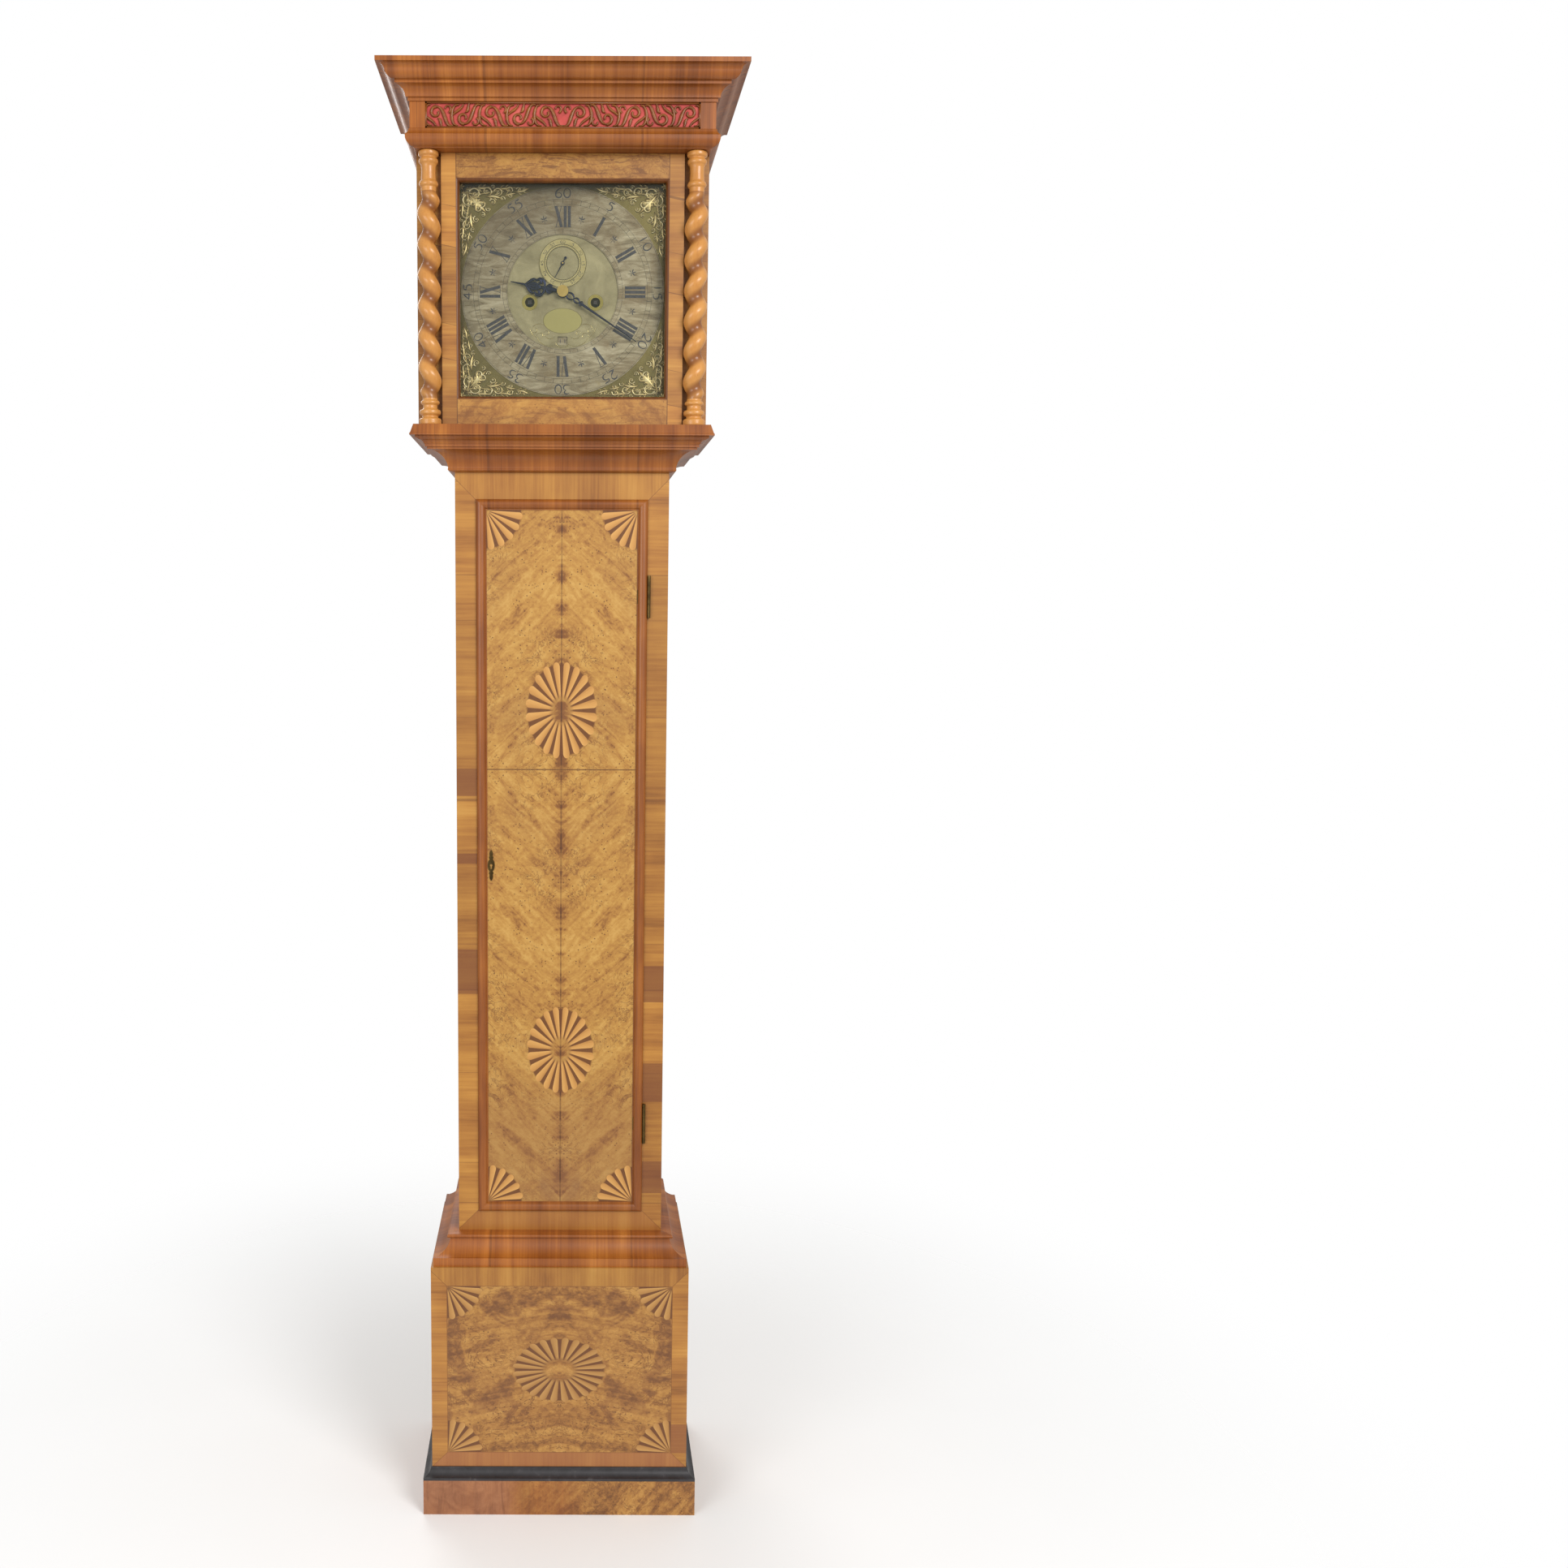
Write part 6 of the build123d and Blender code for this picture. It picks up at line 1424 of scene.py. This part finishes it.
@dataclass
class GutLines:
    """The two driving lines: a loop that goes with each weight, falls that shorten, and upper ends."""

    y: float = 0.015
    radius: float = 0.0008
    seat: float = 1.721
    barrel: float = 1.782
    sheave: float = 0.326
    reach: float = 1.30
    loop_width: float = 0.0462
    knot: float = 0.0020

    def tube(self, piece: Piece, path: np.ndarray) -> None:
        """A round tube along a path in an upright plane that faces -Y."""
        along = np.gradient(path, axis=0)
        along /= np.linalg.norm(along, axis=1, keepdims=True)
        out = np.array([0.0, 1.0, 0.0])
        beside = np.cross(along, out)
        angle = np.linspace(0, 2 * math.pi, 10, endpoint=False)
        ring = beside[:, None, :] * np.cos(angle)[None, :, None] + out * np.sin(angle)[None, :, None]
        piece.grid(path[:, None, :] + self.radius * ring)

    def build(self, gut: bpy.types.Material) -> None:
        """Makes loops, falls and upper ends for both weights."""
        for side, name, node, joint in (("going_driving_weight", "going", "going_line", "going_weight_fall"),
                                        ("strike_driving_weight", "strike", "strike_line",
                                         "strike_weight_fall")):
            low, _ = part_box(node)
            fall, end = float(low.x) + self.radius, float(low.x) + self.radius + self.loop_width
            middle, bow = (fall + end) / 2, (end - fall) / 2
            loop = Piece(f"{name}_line_loop")
            angle = np.linspace(math.pi, 2 * math.pi, 30)
            self.tube(loop, np.stack([middle + bow * np.cos(angle), np.full(30, self.y),
                                      self.sheave + bow * np.sin(angle)], axis=1))
            loop.make(side, "gut", gut, [node])
            falls = Piece(f"{name}_line_falls")
            for x in (fall, end):
                z = np.linspace(self.sheave, self.seat, 40)
                self.tube(falls, np.stack([np.full(40, x), np.full(40, self.y), z], axis=1))
            piece = falls.make("case", "gut", gut)
            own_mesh(piece)
            upper = Piece(f"{name}_line_upper")
            z = np.linspace(self.seat, self.barrel, 12)
            self.tube(upper, np.stack([np.full(12, fall), np.full(12, self.y), z], axis=1))
            tilt = np.linspace(-math.pi / 2, math.pi / 2, 9)[:, None]
            turn = np.linspace(0, 2 * math.pi, 12, endpoint=False)[None, :]
            upper.grid(np.stack([end + self.knot * np.cos(tilt) * np.cos(turn),
                                 self.y + self.knot * np.cos(tilt) * np.sin(turn),
                                 self.seat + 0.0012 + self.knot * np.sin(tilt) + 0 * turn], axis=-1))
            upper.make("case", "gut", gut)


@dataclass
class GlassBead:
    """The dark quarter-round bead round the hood door's glass."""

    half: float = GLASS_HALF
    low: float = 1.645
    high: float = 1.940
    face: float = -0.083
    width: float = 0.0045

    def build(self, finish: bpy.types.Material) -> None:
        """Carries a quarter-round profile round the opening, mitred at its corners."""
        piece = Piece("hood_door_glass_bead")
        t = np.linspace(0.0, math.pi / 2, 7)
        inset = np.concatenate([[0.0], self.width * np.sin(t), [0.0]])
        depth = np.concatenate([[0.0], self.width * (1 - np.cos(t)) * 1.6 + 0.0006,
                                [self.width * 1.6 + 0.0006]])
        rows = []
        for sx, sz in ((-1, -1), (1, -1), (1, 1), (-1, 1), (-1, -1)):
            x = sx * (self.half - inset)
            z = np.where(sz < 0, self.low + inset, self.high - inset)
            rows.append(np.stack([x, self.face + depth, z], axis=-1))
        piece.grid(np.stack(rows), wrap=True, caps=False)
        piece.make("hood_door", "moulding_walnut", finish, smooth=False)


# The scene


@dataclass
class Studio:
    """Camera, lamps, floor and pale background."""

    camera_place: tuple[float, float, float] = (0.012, -2.163, 1.354)
    pitch: float = 6.79
    roll: float = 0.2
    lens: float = 33.54
    shift: float = 0.1368

    def camera(self) -> None:
        """The photograph's viewpoint."""
        data = bpy.data.cameras.new("photo_camera")
        data.lens, data.sensor_width, data.shift_x = self.lens, 36.0, self.shift
        camera = bpy.data.objects.new("photo_camera", data)
        camera.location = self.camera_place
        turn = Matrix.Rotation(math.radians(90 - self.pitch), 3,
                               "X") @ Matrix.Rotation(math.radians(self.roll), 3, "Z")
        camera.rotation_euler = turn.to_euler()
        bpy.context.scene.collection.objects.link(camera)
        bpy.context.scene.camera = camera

    def lamp(self, name: str, place: tuple[float, float, float], aim: tuple[float, float, float],
             power: float, size: float) -> None:
        """A large soft area lamp."""
        data = bpy.data.lights.new(name, "AREA")
        data.shape, data.size, data.energy = "DISK", size, power
        lamp = bpy.data.objects.new(name, data)
        lamp.location = place
        way = np.array(aim) - np.array(place)
        lamp.rotation_euler = (math.atan2(math.hypot(way[0], way[1]), -way[2]), 0.0,
                               math.atan2(way[1], way[0]) - math.pi / 2)
        bpy.context.scene.collection.objects.link(lamp)

    def world(self) -> None:
        """White to the camera and to transmission rays, softer as a light."""
        world = bpy.data.worlds.new("studio")
        bpy.context.scene.world = world
        world.use_nodes = True
        tree = world.node_tree
        tree.nodes.clear()
        output = tree.nodes.new("ShaderNodeOutputWorld")
        seen, light = tree.nodes.new("ShaderNodeBackground"), tree.nodes.new("ShaderNodeBackground")
        seen.inputs[0].default_value, seen.inputs[1].default_value = (1, 1, 1, 1), 1.0
        light.inputs[0].default_value, light.inputs[1].default_value = (1.0, 0.985, 0.96, 1), 0.55
        path, mix = tree.nodes.new("ShaderNodeLightPath"), tree.nodes.new("ShaderNodeMixShader")
        most = tree.nodes.new("ShaderNodeMath")
        most.operation = "MAXIMUM"
        for source, target in ((path.outputs["Is Camera Ray"], most.inputs[0]),
                               (path.outputs["Is Transmission Ray"], most.inputs[1]),
                               (most.outputs[0], mix.inputs[0]), (light.outputs[0], mix.inputs[1]),
                               (seen.outputs[0], mix.inputs[2]), (mix.outputs[0], output.inputs[0])):
            tree.links.new(source, target)

    def floor(self) -> None:
        """A wide pale floor."""
        size = 30.0
        mesh = bpy.data.meshes.new("floor")
        mesh.from_pydata([(-size, -size, 0), (size, -size, 0), (size, size, 0), (-size, size, 0)], [],
                         [(0, 1, 2, 3)])
        sheet = NodeSheet("pale_floor")
        speck = sheet.noise(sheet.place, 3.0, 2.0)
        colour = sheet.ramp(speck, ((0.0, (0.93, 0.93, 0.93, 1)), (1.0, (0.97, 0.97, 0.97, 1))))
        away = sheet.distance(sheet.x, sheet.y)
        sheet.feed(sheet.shader.inputs["Alpha"], sheet.ease(away, 1.5, 0.35))
        mesh.materials.append(sheet.finish(colour, 0.8))
        floor = bpy.data.objects.new("floor", mesh)
        bpy.context.scene.collection.objects.link(floor)

    def build(self) -> None:
        """Sets up the whole studio."""
        self.camera()
        self.world()
        self.floor()
        self.lamp("key", (1.6, -2.6, 2.6), (0.0, 0.0, 1.2), 70.0, 1.6)
        self.lamp("fill", (-1.8, -2.4, 1.6), (0.0, 0.0, 1.0), 30.0, 1.8)
        self.lamp("back", (-0.9, 2.4, 2.8), (0.0, 0.1, 1.2), 26.0, 1.8)
        bpy.context.scene.view_settings.view_transform = "Standard"


def dress(nodes: dict[str, bpy.types.Object], names: Sequence[str], finish: bpy.types.Material) -> None:
    """Gives CAD nodes a finish."""
    for name in names:
        mesh = nodes[name].data
        mesh.materials.clear()
        mesh.materials.append(finish)
    log.info("%s on %s", finish.name, ", ".join(names))


def main() -> None:
    """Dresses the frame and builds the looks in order."""
    logging.basicConfig(level=logging.INFO, format="%(message)s")
    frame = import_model()
    nodes = frame["nodes"]
    Studio().build()

    moulding = Veneer("moulding_walnut", Grain.ACROSS, MOULDING, 0.09, 0.84, 1.08, 0.40).make()
    base = Veneer("base_walnut", Grain.ACROSS, MOULDING, 0.09, 0.98, 1.30, 0.40).make()
    side = Veneer("side_walnut", Grain.UPRIGHT, WALNUT, 0.30, 0.9, 1.0).make()
    brass = Metal("brass", tint(196, 170, 96), tint(132, 108, 56)).make()
    old_brass = Metal("aged_brass", tint(120, 98, 56), tint(56, 44, 28), 0.42, 0.9).make()
    steel = Metal("steel", tint(150, 148, 146), tint(96, 92, 90), 0.3).make()
    blued = Metal("blued_steel", tint(38, 42, 62), tint(24, 24, 34), 0.34).make()
    iron = Metal("lock_iron", tint(62, 58, 54), tint(40, 34, 30), 0.5).make()
    bell_metal = Metal("bell_metal", tint(168, 162, 150), tint(120, 114, 102), 0.38, 0.7).make()
    gut, oak = Gut().make(), Oak().make()

    dress(nodes, ["base_moulding"], base)
    dress(nodes, ["throat_moulding", "hood_base_moulding", "architrave", "cornice", "trunk_door_moulding"],
          moulding)
    dress(nodes, ["ebonised_moulding"], Ebonised().make())
    dress(nodes, ["skirting"], Skirting().make())
    dress(nodes, ["plinth_front"], PlinthVeneer().make())
    dress(nodes, ["trunk_door_panel"], DoorVeneer().make())
    dress(nodes, ["trunk_front_frame"], CrossBand().make())
    dress(nodes, ["trunk_sides", "plinth_sides_and_floor", "hood_carcase"], side)
    dress(nodes, ["frieze"], Veneer("frieze_walnut", Grain.ACROSS, MOULDING, 0.11, 0.95, 1.2).make())
    dress(nodes, ["hood_door_frame"], HoodDoorVeneer().make())
    dress(nodes, ["backboard", "seatboard"], oak)
    dress(nodes, ["hood_door_glass", "hood_side_windows"], WindowGlass().make())
    dress(nodes, ["dial_plate"], DialBrass().make())
    dress(nodes, ["chapter_ring"],
          SilveredRing("chapter_ring_silver", 0.0, DIAL_CENTRE, (0.0785, 0.0840, 0.1185, 0.1250, 0.1405),
                       ((0.0785, 0.0840, 48.0, 0.0004), (0.1185, 0.1250, 60.0, 0.0005),
                        (0.1250, 0.1280, 12.0, 0.0006))).make())
    dress(nodes, ["seconds_ring"], SilveredRing(
        "seconds_ring_silver", 0.0, 1.835, (0.0225, 0.0255, 0.0328),
        ((0.0225, 0.0255, 60.0, 0.0003),), 0.72, 0.0004).make())
    dress(nodes, ["date_ring"], SilveredRing("date_ring_silver", 0.0, DIAL_CENTRE, (0.0600, 0.0720),
                                             ((0.0600, 0.0720, 31.0, 0.0004),)).make())
    dress(nodes, ["bell"], bell_metal)
    dress(nodes,
          ["hood_door_pivots", "movement_front_plate", "movement_back_plate", "back_cock_and_bell_stand",
           "centre_wheel", "hour_wheel", "minute_wheel", "going_great_wheel", "third_wheel", "escape_wheel",
           "pin_wheel", "pendulum_bob", "rating_nut", "going_weight", "strike_weight"], brass)
    dress(nodes, ["going_barrel", "strike_barrel"], BarrelMetal().make())
    dress(nodes, ["anchor", "hammer", "pendulum_rod", "seatboard_bolts"], steel)
    dress(nodes, ["seconds_hand"], blued)
    dress(nodes, ["trunk_door_lock", "lock_bolt"], iron)
    dress(nodes, ["keyhole_escutcheon", "trunk_hinge_plates", "trunk_door_hinge_leaves"], old_brass)

    TwistColumns().build(Turned().make())
    FriezePanel().build(Veneer("fret_walnut", Grain.LEVEL, MOULDING, 0.2, 0.62, 0.8).make(), Silk().make())
    DialEngraving().build(Wax().make(),
                          Metal("bright_cut", tint(214, 200, 140), tint(170, 150, 90), 0.25).make())
    Spandrels().build(Casting().make())
    Hands().build(blued)
    GutLines().build(gut)
    GlassBead().build(Veneer("dark_bead", Grain.ACROSS, MOULDING, 0.3, 0.45, 0.6).make())


if __name__ == "__main__":
    main()
